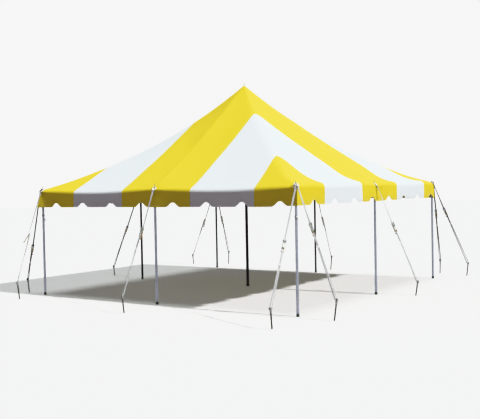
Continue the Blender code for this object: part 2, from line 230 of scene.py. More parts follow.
# Where the poles and stakes stand. GUYS gives, for each guy of a pole, its stake's place and height,
# and how far down the strap its spool lies, as a share
CORNERS = {"front_left": (-1, -1), "front_right": (1, -1), "back_right": (1, 1), "back_left": (-1, 1)}
MIDDLES = {"front_mid": (0, -1), "right_mid": (1, 0), "back_mid": (0, 1), "left_mid": (-1, 0)}
PINS = {**CORNERS, **MIDDLES}
GUYS = {
    "front_left": (((-2.95, -3.75), 0.36, 0.46), ((-3.58, -2.96), 0.31, 0.59)),
    "front_mid": (((0.15, -4.08), 0.33, 0.36),),
    "front_right": (((3.26, -4.20), 0.34, 0.44), ((3.74, -3.11), 0.36, 0.32)),
    "right_mid": (((3.76, 0.19), 0.29, 0.38),),
    "back_right": (((3.515, 3.86), 0.31, 0.28), ((2.78, 4.11), 0.33, 0.32)),
    "back_mid": (((0.03, 3.75), 0.36, 0.42),),
    "back_left": (((-3.32, 3.97), 0.36, 0.42), ((-4.25, 3.57), 0.27, 0.45)),
    "left_mid": (((-4.25, 0.35), 0.25, 0.45),),
}
# Guys whose straps, reel and ring sleeve take the darker strap colour: painted shade, for the guys on the
# shaded sides of the tent.
SHADE_PAINTED_GUYS = ("left_mid", "back_left_a", "back_left_b", "back_mid", "back_right_b", "front_left_b")
# Guys whose ratchet handle shows its gold; the others take a darker, duller copy of the gold as painted
# shade.
BRIGHT_HANDLES = ("front_mid", "front_right_a", "front_right_b", "right_mid")
TWISTS = {
    "front_left_a": -2.60, "front_right_b": 0.80, "right_mid": 0.85,
    "back_right_a": -0.70, "back_right_b": -0.45,
}
OPEN_HANDLES = {"front_left_a": 0.36, "front_mid": 0.10, "back_left_b": 0.15}
BODY = "root"
UP = Vector((0, 0, 1))
SQUARE = ((-1, -1), (1, -1), (1, 1), (-1, 1))
TURNS = [np.array(((c, -s), (s, c))) for c, s in ((1, 0), (0, 1), (-1, 0), (0, -1))]


# Sizes and colours that a user would change


class CanopySettings(bpy.types.PropertyGroup):
    yellow: FloatVectorProperty(
        name="Yellow", description="Colour of the yellow cloth", subtype="COLOR", size=3,
        min=0, max=1, default=(0.79, 0.68, 0.030),
    )
    white: FloatVectorProperty(
        name="White", description="Colour of the white cloth", subtype="COLOR", size=3,
        min=0, max=1, default=(0.88, 0.955, 0.975),
    )
    thickness: FloatProperty(
        name="Thickness", description="Thickness of the coated cloth", unit="LENGTH", default=0.0016
    )
    billow: FloatProperty(
        name="Billow", description="Height of the roof's soft waves", unit="LENGTH", default=0.004
    )
    fold: FloatProperty(
        name="Fold", description="Depth of the valance's fold under each pin", unit="LENGTH", default=0.075
    )
    ripple: FloatProperty(
        name="Ripple", description="Sway of the valance's hem", unit="LENGTH", default=0.009
    )
    weave: FloatProperty(
        name="Weave", description="Spacing of the threads under the coating", unit="LENGTH", default=0.0028
    )


class TrimSettings(bpy.types.PropertyGroup):
    stitch: FloatProperty(
        name="Stitch", description="Spacing of the stitches", unit="LENGTH", default=0.014
    )
    binding: FloatProperty(
        name="Binding", description="Width of the tape round the hem", unit="LENGTH", default=0.018
    )
    eyelet: FloatProperty(
        name="Eyelet", description="Outer radius of the brass eyelets", unit="LENGTH", default=0.019
    )


class PoleSettings(bpy.types.PropertyGroup):
    steel: FloatVectorProperty(
        name="Steel", description="Colour of the galvanised tube", subtype="COLOR", size=3,
        min=0, max=1, default=(0.28, 0.30, 0.35),
    )
    # Painted shade: a darker, duller copy of the tube for the centre and back poles, which stand in the
    # canopy's shade.
    shaded: FloatVectorProperty(
        name="Shaded steel", description="Colour of the dull tube of the centre and back poles",
        subtype="COLOR", size=3, min=0, max=1, default=(0.07, 0.07, 0.075),
    )
    sides: IntProperty(name="Sides", description="Sides of each round tube", default=32)


class GuySettings(bpy.types.PropertyGroup):
    # The webbing's grey is partly painted shade: the straps are whitish, and the grey stands in for their
    # shaded side.
    webbing: FloatVectorProperty(
        name="Webbing", description="Colour of the woven straps", subtype="COLOR", size=3,
        min=0, max=1, default=(0.58, 0.61, 0.61),
    )
    # Painted shade: a darker copy of the webbing colour, for the straps on the shaded sides.
    shade_painted_colour: FloatVectorProperty(
        name="Shade-painted webbing", description="Colour of the grimy straps on the far sides",
        subtype="COLOR", size=3, min=0, max=1, default=(0.17, 0.18, 0.155),
    )
    width: FloatProperty(name="Width", description="Width of the straps", unit="LENGTH", default=0.031)
    ring_tilt: FloatProperty(
        name="Ring tilt", description="Slope of the rings on the pins", subtype="ANGLE",
        default=math.radians(45),
    )
    twist: FloatProperty(
        name="Twist", description="Largest random turn of a ratchet", subtype="ANGLE",
        default=math.radians(38),
    )


class StakeSettings(bpy.types.PropertyGroup):
    iron: FloatVectorProperty(
        name="Iron", description="Colour of the stakes", subtype="COLOR", size=3,
        min=0, max=1, default=(0.045, 0.044, 0.034),
    )


class StageSettings(bpy.types.PropertyGroup):
    key: FloatProperty(name="Key", description="Strength of the key light", default=3.55)
    azimuth: FloatProperty(
        name="Azimuth", description="Bearing of the key light from +X", subtype="ANGLE",
        default=math.radians(3),
    )
    elevation: FloatProperty(
        name="Elevation", description="Height of the key light", subtype="ANGLE", default=math.radians(40)
    )
    overhead: FloatProperty(name="Overhead", description="Strength of the light from above", default=1.38)
    ambient: FloatProperty(name="Ambient", description="Strength of the light from all round", default=0.135)
    fill: FloatProperty(name="Fill", description="Strength of the light on the shaded front", default=0.30)
    backdrop: FloatProperty(name="Backdrop", description="Brightness of the backdrop", default=1.35)


# Shader nodes written as Python expressions


class Value:
    """A socket of a material; arithmetic on it adds Math nodes."""

    def __init__(self, paint, socket):
        self.paint, self.socket = paint, socket

    def _math(self, operation, *values):
        return self.paint.node("ShaderNodeMath", {"operation": operation}, dict(enumerate(values)))

    def __add__(self, other):
        return self._math("ADD", self, other)

    __radd__ = __add__

    def __sub__(self, other):
        return self._math("SUBTRACT", self, other)

    def __rsub__(self, other):
        return self._math("SUBTRACT", other, self)

    def __mul__(self, other):
        return self._math("MULTIPLY", self, other)

    __rmul__ = __mul__

    def __truediv__(self, other):
        return self._math("DIVIDE", self, other)

    def __abs__(self):
        return self._math("ABSOLUTE", self)

    def __gt__(self, other):
        return self._math("GREATER_THAN", self, other)

    def __lt__(self, other):
        return self._math("LESS_THAN", self, other)

    def __pow__(self, other):
        return self._math("POWER", self, other)

    def at_most(self, other):
        return self._math("MINIMUM", self, other)

    def at_least(self, other):
        return self._math("MAXIMUM", self, other)

    def sine(self):
        return self._math("SINE", self)

    def band(self, centre, half_width):
        """1 near centre and 0 elsewhere."""
        return abs(self - centre) < half_width

    def over(self, start):
        """How far the value is over start, or 0."""
        return (self - start).at_least(0)

    def ramp(self, start, slope):
        """0 up to start, then rising to 1."""
        return ((self - start) * slope).at_least(0).at_most(1)


class Paint:
    """A material's nodes, ending in one Principled shader."""

    def __init__(self, name):
        self.material = bpy.data.materials.new(name)
        self.material.use_nodes = True
        self.tree = self.material.node_tree
        self.shader = self.tree.nodes["Principled BSDF"]

    def node(self, kind, settings=None, values=None, output=0):
        made = self.tree.nodes.new(kind)
        for key, value in (settings or {}).items():
            setattr(made, key, value)
        for key, value in (values or {}).items():
            self.feed(made.inputs[key], value)
        return Value(self, made.outputs[output])

    def feed(self, socket, value):
        if isinstance(value, Value):
            self.tree.links.new(value.socket, socket)
        else:
            socket.default_value = (*value, 1) if socket.type == "RGBA" else value

    def object_place(self):
        return self.node("ShaderNodeTexCoord", output="Object")

    def uv(self):
        """The two lengths that the piece's UV map holds, in metres."""
        return self.split(self.node("ShaderNodeTexCoord", output="UV"))[:2]

    def split(self, vector):
        split = self.tree.nodes.new("ShaderNodeSeparateXYZ")
        self.feed(split.inputs[0], vector)
        return tuple(Value(self, output) for output in split.outputs)

    def noise(self, place, scale, detail=3.0, roughness=0.55):
        values = {"Vector": place, "Scale": scale, "Detail": detail, "Roughness": roughness}
        return self.node("ShaderNodeTexNoise", None, values, output="Fac")

    def mix(self, factor, first, second):
        return self.node("ShaderNodeMix", {"data_type": "RGBA"}, {"Factor": factor, 6: first, 7: second}, 2)

    def stretch(self, place, scale):
        return self.node("ShaderNodeMapping", None, {"Vector": place, "Scale": scale})

    def bump(self, height, distance):
        return self.node("ShaderNodeBump", None, {"Strength": 1.0, "Distance": distance, "Height": height})

    def finish(self, **values):
        for key, value in values.items():
            name = key.replace("_", " ").title().replace("Ior", "IOR")
            self.feed(self.shader.inputs[name], value)
        return self.material


def lighter(colour, factor):
    return tuple(min(1.0, part * factor) for part in colour)


def canopy_vinyl(settings):
    """Coated cloth: stripes, welded seams, reinforced pin patches, soft mottling, dust at the hem, and a
    painted glow on the yellow cloth: a faint emission that stands in for light the cloth lets in from its
    far side and lifts its shaded parts.

    The UV map holds the place across a side and the distance down from the peak, in metres.
    """
    paint = Paint("striped_vinyl")
    across, down = paint.uv()
    place = paint.object_place()
    aside = abs(across)
    corner = (1.0 - (down - aside) / TIP_ROUND).at_least(0) * (down < HALF_SIDE)
    rounded = aside - corner * corner * (TIP_ROUND / 4)
    white = (rounded > INNER_STRIPE) * (rounded < OUTER_STRIPE)
    cloud = paint.noise(place, 1.7, 4.0)
    speckle = paint.noise(place, 26.0, 3.0)
    yellow_cloth = paint.mix(cloud, lighter(settings.yellow, 0.93), lighter(settings.yellow, 1.05))
    white_cloth = paint.mix(cloud, lighter(settings.white, 0.965), lighter(settings.white, 1.03))
    colour = paint.mix(white, yellow_cloth, white_cloth)
    hem = down.ramp(3.22, 7.0)
    dust = (hem * 0.16 + 0.03) * (speckle * cloud * 2.6).at_most(1)
    colour = paint.mix(dust, colour, (0.30, 0.27, 0.21))
    lap = aside.band(INNER_STRIPE - LAP_HALF_WIDTH, LAP_HALF_WIDTH)
    lap = lap + aside.band(OUTER_STRIPE + LAP_HALF_WIDTH, LAP_HALF_WIDTH)
    patches = []
    for pin in (0.0, PIN_LINE):
        gone = ((aside - pin) ** 2.0 + (down - PIN_LINE) ** 2.0) ** 0.5
        patches.append((gone < 0.13) + (gone < 0.07) * 0.6)
    patch = patches[0] + patches[1] + (down < 0.22) * 0.8 + (down < 0.10) * 0.8
    layers = (lap + patch).at_most(1.6)
    colour = paint.mix(layers * 0.05, colour, lighter(settings.yellow, 0.35))
    cell = 2 * math.pi / settings.weave
    weave = (across * cell).sine() * (down * cell).sine()
    crinkle = paint.noise(place, 9.0, 5.0, 0.6)
    height = weave * 0.00006 + layers * 0.0007 + crinkle * 0.0016
    # Painted glow: the yellow stripes emit a faint constant light, standing in for light the cloth lets in
    # from its far side; it lifts the shaded valance.
    painted_glow = paint.mix(white, (0.050, 0.035, 0.034), (0.0, 0.0, 0.0))
    return paint.finish(
        base_color=colour, roughness=0.60 + cloud * 0.12 + dust * 0.3, specular_ior_level=0.04,
        emission_color=painted_glow, emission_strength=1.0, normal=paint.bump(height, 1.0),
    )


def trim_vinyl(settings):
    """The canopy's stripes by place, for the hem binding."""
    paint = Paint("hem_vinyl")
    place = paint.object_place()
    x, y, _ = paint.split(place)
    sides = ((x, y * -1.0), (y, x), (x * -1.0, y), (y * -1.0, x * -1.0))
    white = 0.0
    for leans, (along, out) in zip(SEAM_LEANS, sides):
        edges = [edge + lean for edge, lean in zip(STRIPE_EDGES, leans)]
        left = (along > edges[0]) * (along < edges[1])
        right = (along > edges[2]) * (along < edges[3])
        white = (out > abs(along)) * (left + right) + white
    wear = paint.noise(place, 14.0, 4.0)
    colour = paint.mix(white, settings.yellow, settings.white)
    colour = paint.mix(wear.over(0.52) * 1.4, colour, (0.32, 0.29, 0.23))
    return paint.finish(base_color=colour, roughness=0.42 + wear * 0.15, normal=paint.bump(wear, 0.0008))


def thread(name, colour):
    paint = Paint(name)
    grain = paint.noise(paint.object_place(), 900.0, 2.0)
    tone = paint.mix(grain, lighter(colour, 0.8), colour)
    return paint.finish(base_color=tone, roughness=0.55 + grain * 0.2, normal=paint.bump(grain, 0.0003))


def woven(name, colour, soil):
    """Flat webbing: ribs across it, a selvedge on each edge, and handling dirt.

    The UV map holds the place across the strap and the length along it, in metres.
    """
    paint = Paint(name)
    across, along = paint.uv()
    place = paint.object_place()
    herringbone = (along * 1400.0 + abs(across) * 900.0).sine()
    ribs = (across * 2400.0).sine()
    grime = paint.noise(place, 9.0, 4.0)
    edge = (abs(across) > 0.0135) * 0.35
    tone = paint.mix(grime.over(0.45) * 0.6, colour, soil)
    tone = paint.mix((herringbone * 0.5 + 0.5) * 0.06 + edge * 0.12, tone, soil)
    height = herringbone * 0.0003 + ribs * 0.0002 - edge * 0.0003
    return paint.finish(
        base_color=tone, roughness=0.78 + grime * 0.12, normal=paint.bump(height, 1.0), sheen_weight=0.15
    )


def zinc(name, colour, scale, metallic=0.85, roughness=0.36):
    """Galvanised steel: crystal spangle, rain streaks down it and dull handling marks."""
    paint = Paint(name)
    place = paint.object_place()
    spangle = paint.node(
        "ShaderNodeTexVoronoi", {"feature": "F1"},
        {"Vector": paint.stretch(place, (1.0, 1.0, 0.45)), "Scale": scale}, output="Color",
    )
    tone = paint.split(spangle)[0]
    streak = paint.noise(paint.stretch(place, (60.0, 60.0, 1.4)), 1.0, 3.0)
    marks = paint.noise(place, 6.0, 5.0, 0.65)
    finish = paint.mix(tone * 0.55 + streak * 0.35, lighter(colour, 0.72), lighter(colour, 1.30))
    dull = marks.over(0.5) * 1.6
    finish = paint.mix(dull, finish, lighter(colour, 0.55))
    return paint.finish(
        base_color=finish, metallic=metallic - 0.3 * dull, roughness=roughness + tone * 0.12 + marks * 0.16,
        normal=paint.bump(tone * 0.5 + marks, 0.0006),
    )


def plain_metal(name, colour, tarnish, scale, roughness=0.32, metallic=0.95):
    """Plated or bare metal with tarnish in patches and fine brushing."""
    paint = Paint(name)
    place = paint.object_place()
    patches = paint.noise(place, scale, 5.0, 0.6)
    fine = paint.noise(place, scale * 14.0, 2.0)
    worn = patches.ramp(0.46, 3.2)
    tone = paint.mix(worn, lighter(colour, 0.9), tarnish)
    return paint.finish(
        base_color=tone, metallic=metallic - 0.5 * worn, roughness=roughness + 0.3 * worn + 0.12 * fine,
        normal=paint.bump(patches * 0.6 + fine * 0.4, 0.0005),
    )


def moulded(name, colour, roughness=0.5):
    """Moulded rubber or plastic with a fine grain and scuffs."""
    paint = Paint(name)
    place = paint.object_place()
    grain = paint.noise(place, 420.0, 3.0)
    scuff = paint.noise(place, 24.0, 5.0, 0.7).ramp(0.55, 4.0)
    tone = paint.mix(scuff * 0.5, colour, lighter(colour, 2.2))
    return paint.finish(
        base_color=tone, roughness=roughness + scuff * 0.3 + grain * 0.1, normal=paint.bump(grain, 0.0003)
    )


def stake_iron(colour):
    """Forged bar: dark scale, rust in patches, bright where the hammer and the ground rub it."""
    paint = Paint("rusty_iron")
    place = paint.object_place()
    scale = paint.noise(place, 38.0, 6.0, 0.65)
    rust = paint.noise(place, 13.0, 5.0, 0.6).ramp(0.47, 4.0)
    tone = paint.mix(scale, lighter(colour, 0.6), lighter(colour, 1.5))
    tone = paint.mix(rust * 0.45, tone, (0.11, 0.060, 0.030))
    _, _, z = paint.split(place)
    bright = ((0.03 - z) * 30.0).at_least(0).at_most(1) * 0.4
    tone = paint.mix(bright, tone, (0.22, 0.20, 0.18))
    return paint.finish(
        base_color=tone, metallic=0.55 - 0.35 * rust, roughness=0.55 + 0.3 * rust,
        normal=paint.bump(scale + rust * 0.5, 0.0016),
    )


# Meshes


def add_object(name, data):
    made = bpy.data.objects.new(name, data)
    bpy.context.scene.collection.objects.link(made)
    return made


def show(name, mesh, smooth=35):
    """An object at the origin. smooth is the angle in degrees from which an edge stays sharp."""
    mesh.shade_smooth()
    mesh.set_sharp_from_angle(angle=math.radians(smooth))
    return add_object(name, mesh)


def mesh_object(name, verts, faces, material, uvs, smooth):
    """A plain mesh. uvs gives the lengths at each face's corners."""
    mesh = bpy.data.meshes.new(name)
    mesh.from_pydata([tuple(vert) for vert in verts], [], faces)
    mesh.materials.append(material)
    layer = mesh.uv_layers.new(name="lengths")
    layer.data.foreach_set("uv", np.asarray([place for face in uvs for place in face], float).ravel())
    return show(name, mesh, smooth)


def bmesh_object(name, bm, materials):
    bmesh.ops.remove_doubles(bm, verts=bm.verts[:], dist=1e-6)
    bmesh.ops.recalc_face_normals(bm, faces=bm.faces[:])
    mesh = bpy.data.meshes.new(name)
    bm.to_mesh(mesh)
    bm.free()
    for material in materials:
        mesh.materials.append(material)
    return show(name, mesh)


def adopt(made, slot, *nodes):
    """The piece rides on the tent and stands for its solids, which are hidden. Its slot is not used."""
    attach(made, BODY)
    if nodes:
        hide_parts(*nodes)


def lifted(height):
    return Matrix.Translation((0, 0, height))


def circle(count):
    """Angles that divide a full turn."""
    return [2 * math.pi * step / count for step in range(count)]


def spot(radius, turn, height=0.0):
    """A place at a radius and an angle about the Z axis."""
    return Vector((radius * math.cos(turn), radius * math.sin(turn), height))


def ahead_of(items):
    """The same items, each one place on, and the first one last."""
    return [*items[1:], items[0]]


def add_turned(bm, profile, sides, place, material=0):
    """A turned solid: profile runs down the outside from the axis at the top to the axis at the foot."""
    rings = [
        [bm.verts.new(place @ spot(radius, turn, height)) for turn in circle(sides if radius > 0 else 1)]
        for radius, height in profile
    ]
    for upper, lower in zip(rings, rings[1:]):
        for step in range(sides):
            high, low = ([ring[part % len(ring)] for part in (step, step + 1)] for ring in (upper, lower))
            corners = tuple(dict.fromkeys((high[0], low[0], low[1], high[1])))
            if len(corners) > 2:
                bm.faces.new(corners).material_index = material


def add_torus(bm, radius, wire, place, material=0, around=40, sides=12, oval=1.0):
    """A ring of round wire; oval squeezes it along its own Y."""
    rows = []
    for turn in circle(around):
        out = spot(1, turn)
        middle = Vector((out.x * radius, out.y * radius * oval, 0))
        rows.append([
            bm.verts.new(place @ (middle + out * wire * math.cos(angle) + UP * (wire * math.sin(angle))))
            for angle in circle(sides)
        ])
    for row, ahead in zip(rows, ahead_of(rows)):
        for corners in zip(row, ahead, ahead_of(ahead), ahead_of(row)):
            bm.faces.new(corners).material_index = material


def add_rod(bm, start, end, radius, material=0, sides=14):
    """A round bar between two points, with slightly rounded ends."""
    run = end - start
    place = Matrix.Translation(start) @ run.to_track_quat("Z", "Y").to_matrix().to_4x4()
    edge = min(radius * 0.35, run.length * 0.2)
    profile = (
        (0, run.length), (radius - edge, run.length), (radius, run.length - edge),
        (radius, edge), (radius - edge, 0), (0, 0),
    )
    add_turned(bm, profile, sides, place, material)


def add_plate(bm, outline, thickness, place, material=0):
    """A flat plate of an outline in the XY plane, centred on it in Z."""
    lower, upper = (
        [bm.verts.new(place @ Vector((x, y, level))) for x, y in outline]
        for level in (-thickness / 2, thickness / 2)
    )
    for corners in (upper, lower[::-1], *zip(lower, ahead_of(lower), ahead_of(upper), upper)):
        bm.faces.new(corners).material_index = material


def rounded_outline(width, height, radius, corner_steps=5):
    """A rectangle with rounded corners, centred on the origin."""
    points = []
    for side_x, side_y, start in ((1, 1, 0), (-1, 1, 90), (-1, -1, 180), (1, -1, 270)):
        x, y = side_x * (width / 2 - radius), side_y * (height / 2 - radius)
        for step in range(corner_steps + 1):
            turn = math.radians(start + 90 * step / corner_steps)
            points.append((x + radius * math.cos(turn), y + radius * math.sin(turn)))
    return points


class Ribbons:
    """Flat straps collected into one mesh, with lengths in their UV map."""

    ACROSS = (-0.5, -0.45, 0.45, 0.5, 0.45, -0.45)

    def __init__(self):
        self.verts, self.faces, self.uvs = [], [], []

    def add(self, path, across, width, thickness):
        """A strap along path. across and width may be one value, or one for each point."""
        count = len(path)
        sides = across if isinstance(across, list) else [across] * count
        widths = width if isinstance(width, list) else [width] * count
        base, half = len(self.verts), thickness / 2
        lengths = [0.0]
        for here, there in zip(path, path[1:]):
            lengths.append(lengths[-1] + (there - here).length)
        for step, point in enumerate(path):
            along = (path[min(step + 1, count - 1)] - path[max(step - 1, 0)]).normalized()
            side = (sides[step] - along * sides[step].dot(along)).normalized()
            face = side.cross(along)
            wide, edge = widths[step] / 2, half * 0.8
            section = (
                (-wide, 0), (-wide + edge, half), (wide - edge, half),
                (wide, 0), (wide - edge, -half), (-wide + edge, -half),
            )
            self.verts.extend(point + side * x + face * z for x, z in section)
        for step in range(count - 1):
            low, high = base + 6 * step, base + 6 * (step + 1)
            here, there = lengths[step], lengths[step + 1]
            for part in range(6):
                ahead = (part + 1) % 6
                self.faces.append((low + part, high + part, high + ahead, low + ahead))
                u, v = self.ACROSS[part] * widths[step], self.ACROSS[ahead] * widths[step]
                self.uvs.append(((u, here), (u, there), (v, there), (v, here)))
        last = base + 6 * (count - 1)
        for first, order, place in ((base, range(6), lengths[0]), (last, range(5, -1, -1), lengths[-1])):
            self.faces.append(tuple(first + part for part in order))
            self.uvs.append(tuple((self.ACROSS[part] * widths[0], place) for part in order))

    def build(self, name, material):
        return mesh_object(name, self.verts, self.faces, material, self.uvs, 50)


# Geometry Nodes


class Tree:
    """A Geometry Nodes tree with named inputs, whose geometry input is edges to follow."""

    def __init__(self, name, inputs):
        self.group = bpy.data.node_groups.new(name, "GeometryNodeTree")
        self.group.interface.new_socket("Geometry", in_out="INPUT", socket_type="NodeSocketGeometry")
        for label, (kind, value) in inputs.items():
            socket = self.group.interface.new_socket(label, in_out="INPUT", socket_type=kind)
            socket.default_value = value
        self.group.interface.new_socket("Material", in_out="INPUT", socket_type="NodeSocketMaterial")
        self.group.interface.new_socket("Geometry", in_out="OUTPUT", socket_type="NodeSocketGeometry")
        self.inputs = self.group.nodes.new("NodeGroupInput").outputs
        self.curve = self.add("GeometryNodeMeshToCurve", values={"Mesh": self.inputs["Geometry"]})

    def add(self, kind, settings=None, values=None, output=0):
        made = self.group.nodes.new(kind)
        for key, value in (settings or {}).items():
            setattr(made, key, value)
        for key, value in (values or {}).items():
            if isinstance(value, bpy.types.NodeSocket):
                self.group.links.new(value, made.inputs[key])
            else:
                made.inputs[key].default_value = value
        return made.outputs[output]

    def lay(self, points, instance, axis):
        """Sets the instance on each point of a curve, with one of its axes along the curve."""
        tangent = self.add("GeometryNodeInputTangent")
        turn = self.add("FunctionNodeAlignRotationToVector", {"axis": axis}, {"Vector": tangent})
        values = {"Points": points, "Instance": instance, "Rotation": turn}
        return self.add("GeometryNodeInstanceOnPoints", values=values)

    def end(self, geometry):
        real = self.add("GeometryNodeRealizeInstances", values={0: geometry})
        values = {"Geometry": real, "Material": self.inputs["Material"]}
        painted = self.add("GeometryNodeSetMaterial", values=values)
        last = self.group.nodes.new("NodeGroupOutput")
        self.group.links.new(painted, last.inputs[0])
        return self.group

    @staticmethod
    def run(group, name, chains, values):
        """Runs the tree on chains of points, joined by edges, and returns a plain mesh."""
        verts, edges = [], []
        for points, closed in chains:
            first = len(verts)
            verts.extend(tuple(point) for point in points)
            edges.extend((first + step, first + step + 1) for step in range(len(points) - 1))
            if closed:
                edges.append((len(verts) - 1, first))
        path = bpy.data.meshes.new(f"{name}_path")
        path.from_pydata(verts, edges, [])
        source = add_object(f"{name}_path", path)
        modifier = source.modifiers.new("Build", "NODES")
        modifier.node_group = group
        for item in group.interface.items_tree:
            if item.item_type == "SOCKET" and item.in_out == "INPUT" and item.name in values:
                modifier[item.identifier] = values[item.name]
        graph = bpy.context.evaluated_depsgraph_get()
        mesh = bpy.data.meshes.new_from_object(source.evaluated_get(graph))
        source.modifiers.remove(modifier)
        bpy.data.objects.remove(source)
        mesh.name = name
        return mesh


def stitch_tree():
    """Stitches laid end to end along the input's edges, each a small rounded bar."""
    tree = Tree("stitched_path", {
        "Pitch": ("NodeSocketFloat", 0.014), "Length": ("NodeSocketFloat", 0.009),
        "Thickness": ("NodeSocketFloat", 0.0013),
    })
    values = {"Curve": tree.curve, "Length": tree.inputs["Pitch"]}
    points = tree.add("GeometryNodeResampleCurve", {"mode": "LENGTH"}, values)
    half = tree.add("ShaderNodeMath", {"operation": "MULTIPLY"}, {0: tree.inputs["Thickness"], 1: 0.5})
    bar = tree.add("GeometryNodeMeshCylinder", {"fill_type": "NGON"}, {
        "Vertices": 5, "Radius": half, "Depth": tree.inputs["Length"],
    })
    return tree.end(tree.lay(points, bar, "Z"))


def tape_tree():
    """A flat tape that stands on the input's edges, as a binding does on a hem."""
    tree = Tree("bound_edge", {
        "Width": ("NodeSocketFloat", 0.018), "Thickness": ("NodeSocketFloat", 0.0045),
    })
    level = tree.add("GeometryNodeSetCurveNormal", {"mode": "Z_UP"}, {"Curve": tree.curve})
    profile = tree.add("GeometryNodeCurvePrimitiveQuadrilateral", None, {
        "Width": tree.inputs["Thickness"], "Height": tree.inputs["Width"],
    })
    values = {"Curve": profile, "Radius": 0.0014, "Count": 2}
    eased = tree.add("GeometryNodeFilletCurve", {"mode": "POLY"}, values)
    values = {"Curve": level, "Profile Curve": eased, "Fill Caps": True}
    return tree.end(tree.add("GeometryNodeCurveToMesh", values=values))


def tooth_tree():
    """Teeth set round the input's points, which lie on a ratchet wheel's rim."""
    tree = Tree("wheel_teeth", {"Size": ("NodeSocketVector", (0.005, 0.004, 0.003))})
    tooth = tree.add("GeometryNodeMeshCube", None, {"Size": tree.inputs["Size"]})
    return tree.end(tree.lay(tree.curve, tooth, "X"))


# The canopy's surface


def waves(seed, count, low, high):
    """Fixed random sine waves: rows of direction, wave number and phase."""
    source = np.random.default_rng(seed)
    turn = source.uniform(0, 2 * math.pi, count)
    number = 2 * math.pi / source.uniform(low, high, count)
    return np.stack((np.cos(turn) * number, np.sin(turn) * number, source.uniform(0, 2 * math.pi, count)))


def stations():
    """Places from the middle of a side to its corner where the cloth's mesh has a line."""
    places, last = [0.0], 0.0
    for end, steps in STATION_STEPS:
        places.extend(last + (end - last) * (step + 1) / steps for step in range(steps))
        last = end
    return np.array(places)


ROOF_WAVES = waves(4, 14, 0.45, 1.6)
HEM_WAVES = waves(9, 7, 0.55, 1.3)
STATIONS = stations()
COLUMNS = len(STATIONS) - 1


def side_line(columns=COLUMNS):
    """Places across a side, from a number of columns left of its middle up to as many right of it."""
    return np.concatenate((-STATIONS[columns:0:-1], STATIONS[:columns]))


def shares(x, y):
    """Distances out from the centre and along the side, then both as shares: of the way out, of the side."""
    out, along = np.maximum(abs(x), abs(y)), np.minimum(abs(x), abs(y))
    return out, along, out / HALF_SIDE, along / np.maximum(out, 1e-9)


def unit(value):
    """The value, held between 0 and 1."""
    return np.clip(value, 0, 1)


def roof_height(x, y):
    """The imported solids' roof: straight fall, less the sag, with a rounded eave."""
    x, y = np.asarray(x, float), np.asarray(y, float)
    out, _, run, share = shares(x, y)
    height = PEAK_HEIGHT - (PEAK_HEIGHT - EAVE_HEIGHT) * np.minimum(1.0, out / PIN_LINE)
    bow = 4 * run * (1 - run)
    hip_sag = np.where((x > 0) & (y < 0), NEAR_HIP_SAG, HIP_SAG) * (1 + HIP_SKEW * (0.5 - run))
    height = height - bow * (RIDGE_SAG + (hip_sag - RIDGE_SAG) * share**SAG_BLEND)
    height = height - EAVE_SAG * 4 * share * (1 - share) * run**EAVE_SAG_POWER
    past = np.maximum(0.0, out - (HALF_SIDE - EAVE_ROUND_WIDTH)) / EAVE_ROUND_WIDTH
    return height - EAVE_ROUND_DROP * past**2


def cloth_height(x, y, billow):
    """The roof with its soft hips and ridges, rolled eave, hollow inside it, waves and pin creases."""
    x, y = np.asarray(x, float), np.asarray(y, float)
    out, along, run, share = shares(x, y)
    inset = HALF_SIDE - out
    bay = 4 * share * (1 - share)
    hip = np.where((x > 0) & (y < 0), NEAR_HIP_ROUND, HIP_ROUND)
    near = unit(1 - (out - along) / hip)
    height = roof_height(x, y) - HIP_DIP * hip / 4 * near**2 * (unit(run * 4) * unit(inset / 0.4))
    side = np.where(abs(x) > abs(y), np.where(x > 0, 1, 3), np.where(y > 0, 2, 0))
    roll = np.array(EAVE_ROLLS)[side]
    turned = roll - np.sqrt(np.maximum(roll**2 - np.clip(roll - inset, 0, roll) ** 2, 0))
    lift, fade, hollow = np.moveaxis(np.array(EAVE_LIFTS)[side], -1, 0)
    pinned = unit((HALF_SIDE - along) / PINNED_REACH) * unit(along / PINNED_REACH)
    height = height + pinned * (lift * np.exp(-inset / fade) - turned)
    height = height - hollow * pinned * np.exp(-(((inset - HOLLOW_INSET) / HOLLOW_SPREAD) ** 2))
    held = unit(run * 6) * unit(inset / 0.25)
    height = height + RIDGE_CREST * held * (np.exp(-along / CREST_SPREAD) - BAY_SHARE * bay)
    wide = sum(np.sin(x * a + y * b + c) for a, b, c in ROOF_WAVES.T) / math.sqrt(ROOF_WAVES.shape[1])
    height = height + billow * wide * held * np.minimum(1, (out - along + 0.3) / 0.6)
    for side_x, side_y in PINS.values():
        dx, dy = x - side_x * PIN_LINE, y - side_y * PIN_LINE
        gone = np.hypot(dx, dy)
        fan = PUCKER * np.cos(PUCKER_RAYS * np.arctan2(dy, dx) + side_x - 2 * side_y)
        core = 1 - np.exp(-gone / PUCKER_CORE)
        height = height + fan * np.exp(-gone / PUCKER_REACH) * core * np.minimum(1, inset / 0.05)
    return height


def across_side(turn, line, out):
    """Where lines of the cloth cross a side, at a distance out from the centre: they lean as they fall."""
    leans = {sign * place: DRIFTS[turn] for place in NOTCH_CENTRES for sign in (-1, 1)}
    leans.update(zip(STRIPE_EDGES, SEAM_LEANS[turn]))
    crossed = sorted(place for place in leans if abs(place) < out - 1e-6)
    moved = [place + leans[place] * (out - abs(place)) / (HALF_SIDE - abs(place)) for place in crossed]
    return np.interp(line, [-out, *crossed, out], [-out, *moved, out])


def roof_points(turn, line, out, billow, lift=0.0):
    """Points of the roof on a side: line is the place across it in the flat cloth."""
    along = across_side(turn, line, out)
    x, y = TURNS[turn] @ np.stack((along, np.full_like(along, -out)))
    return np.stack((x, y, cloth_height(x, y, billow) + lift), axis=1)


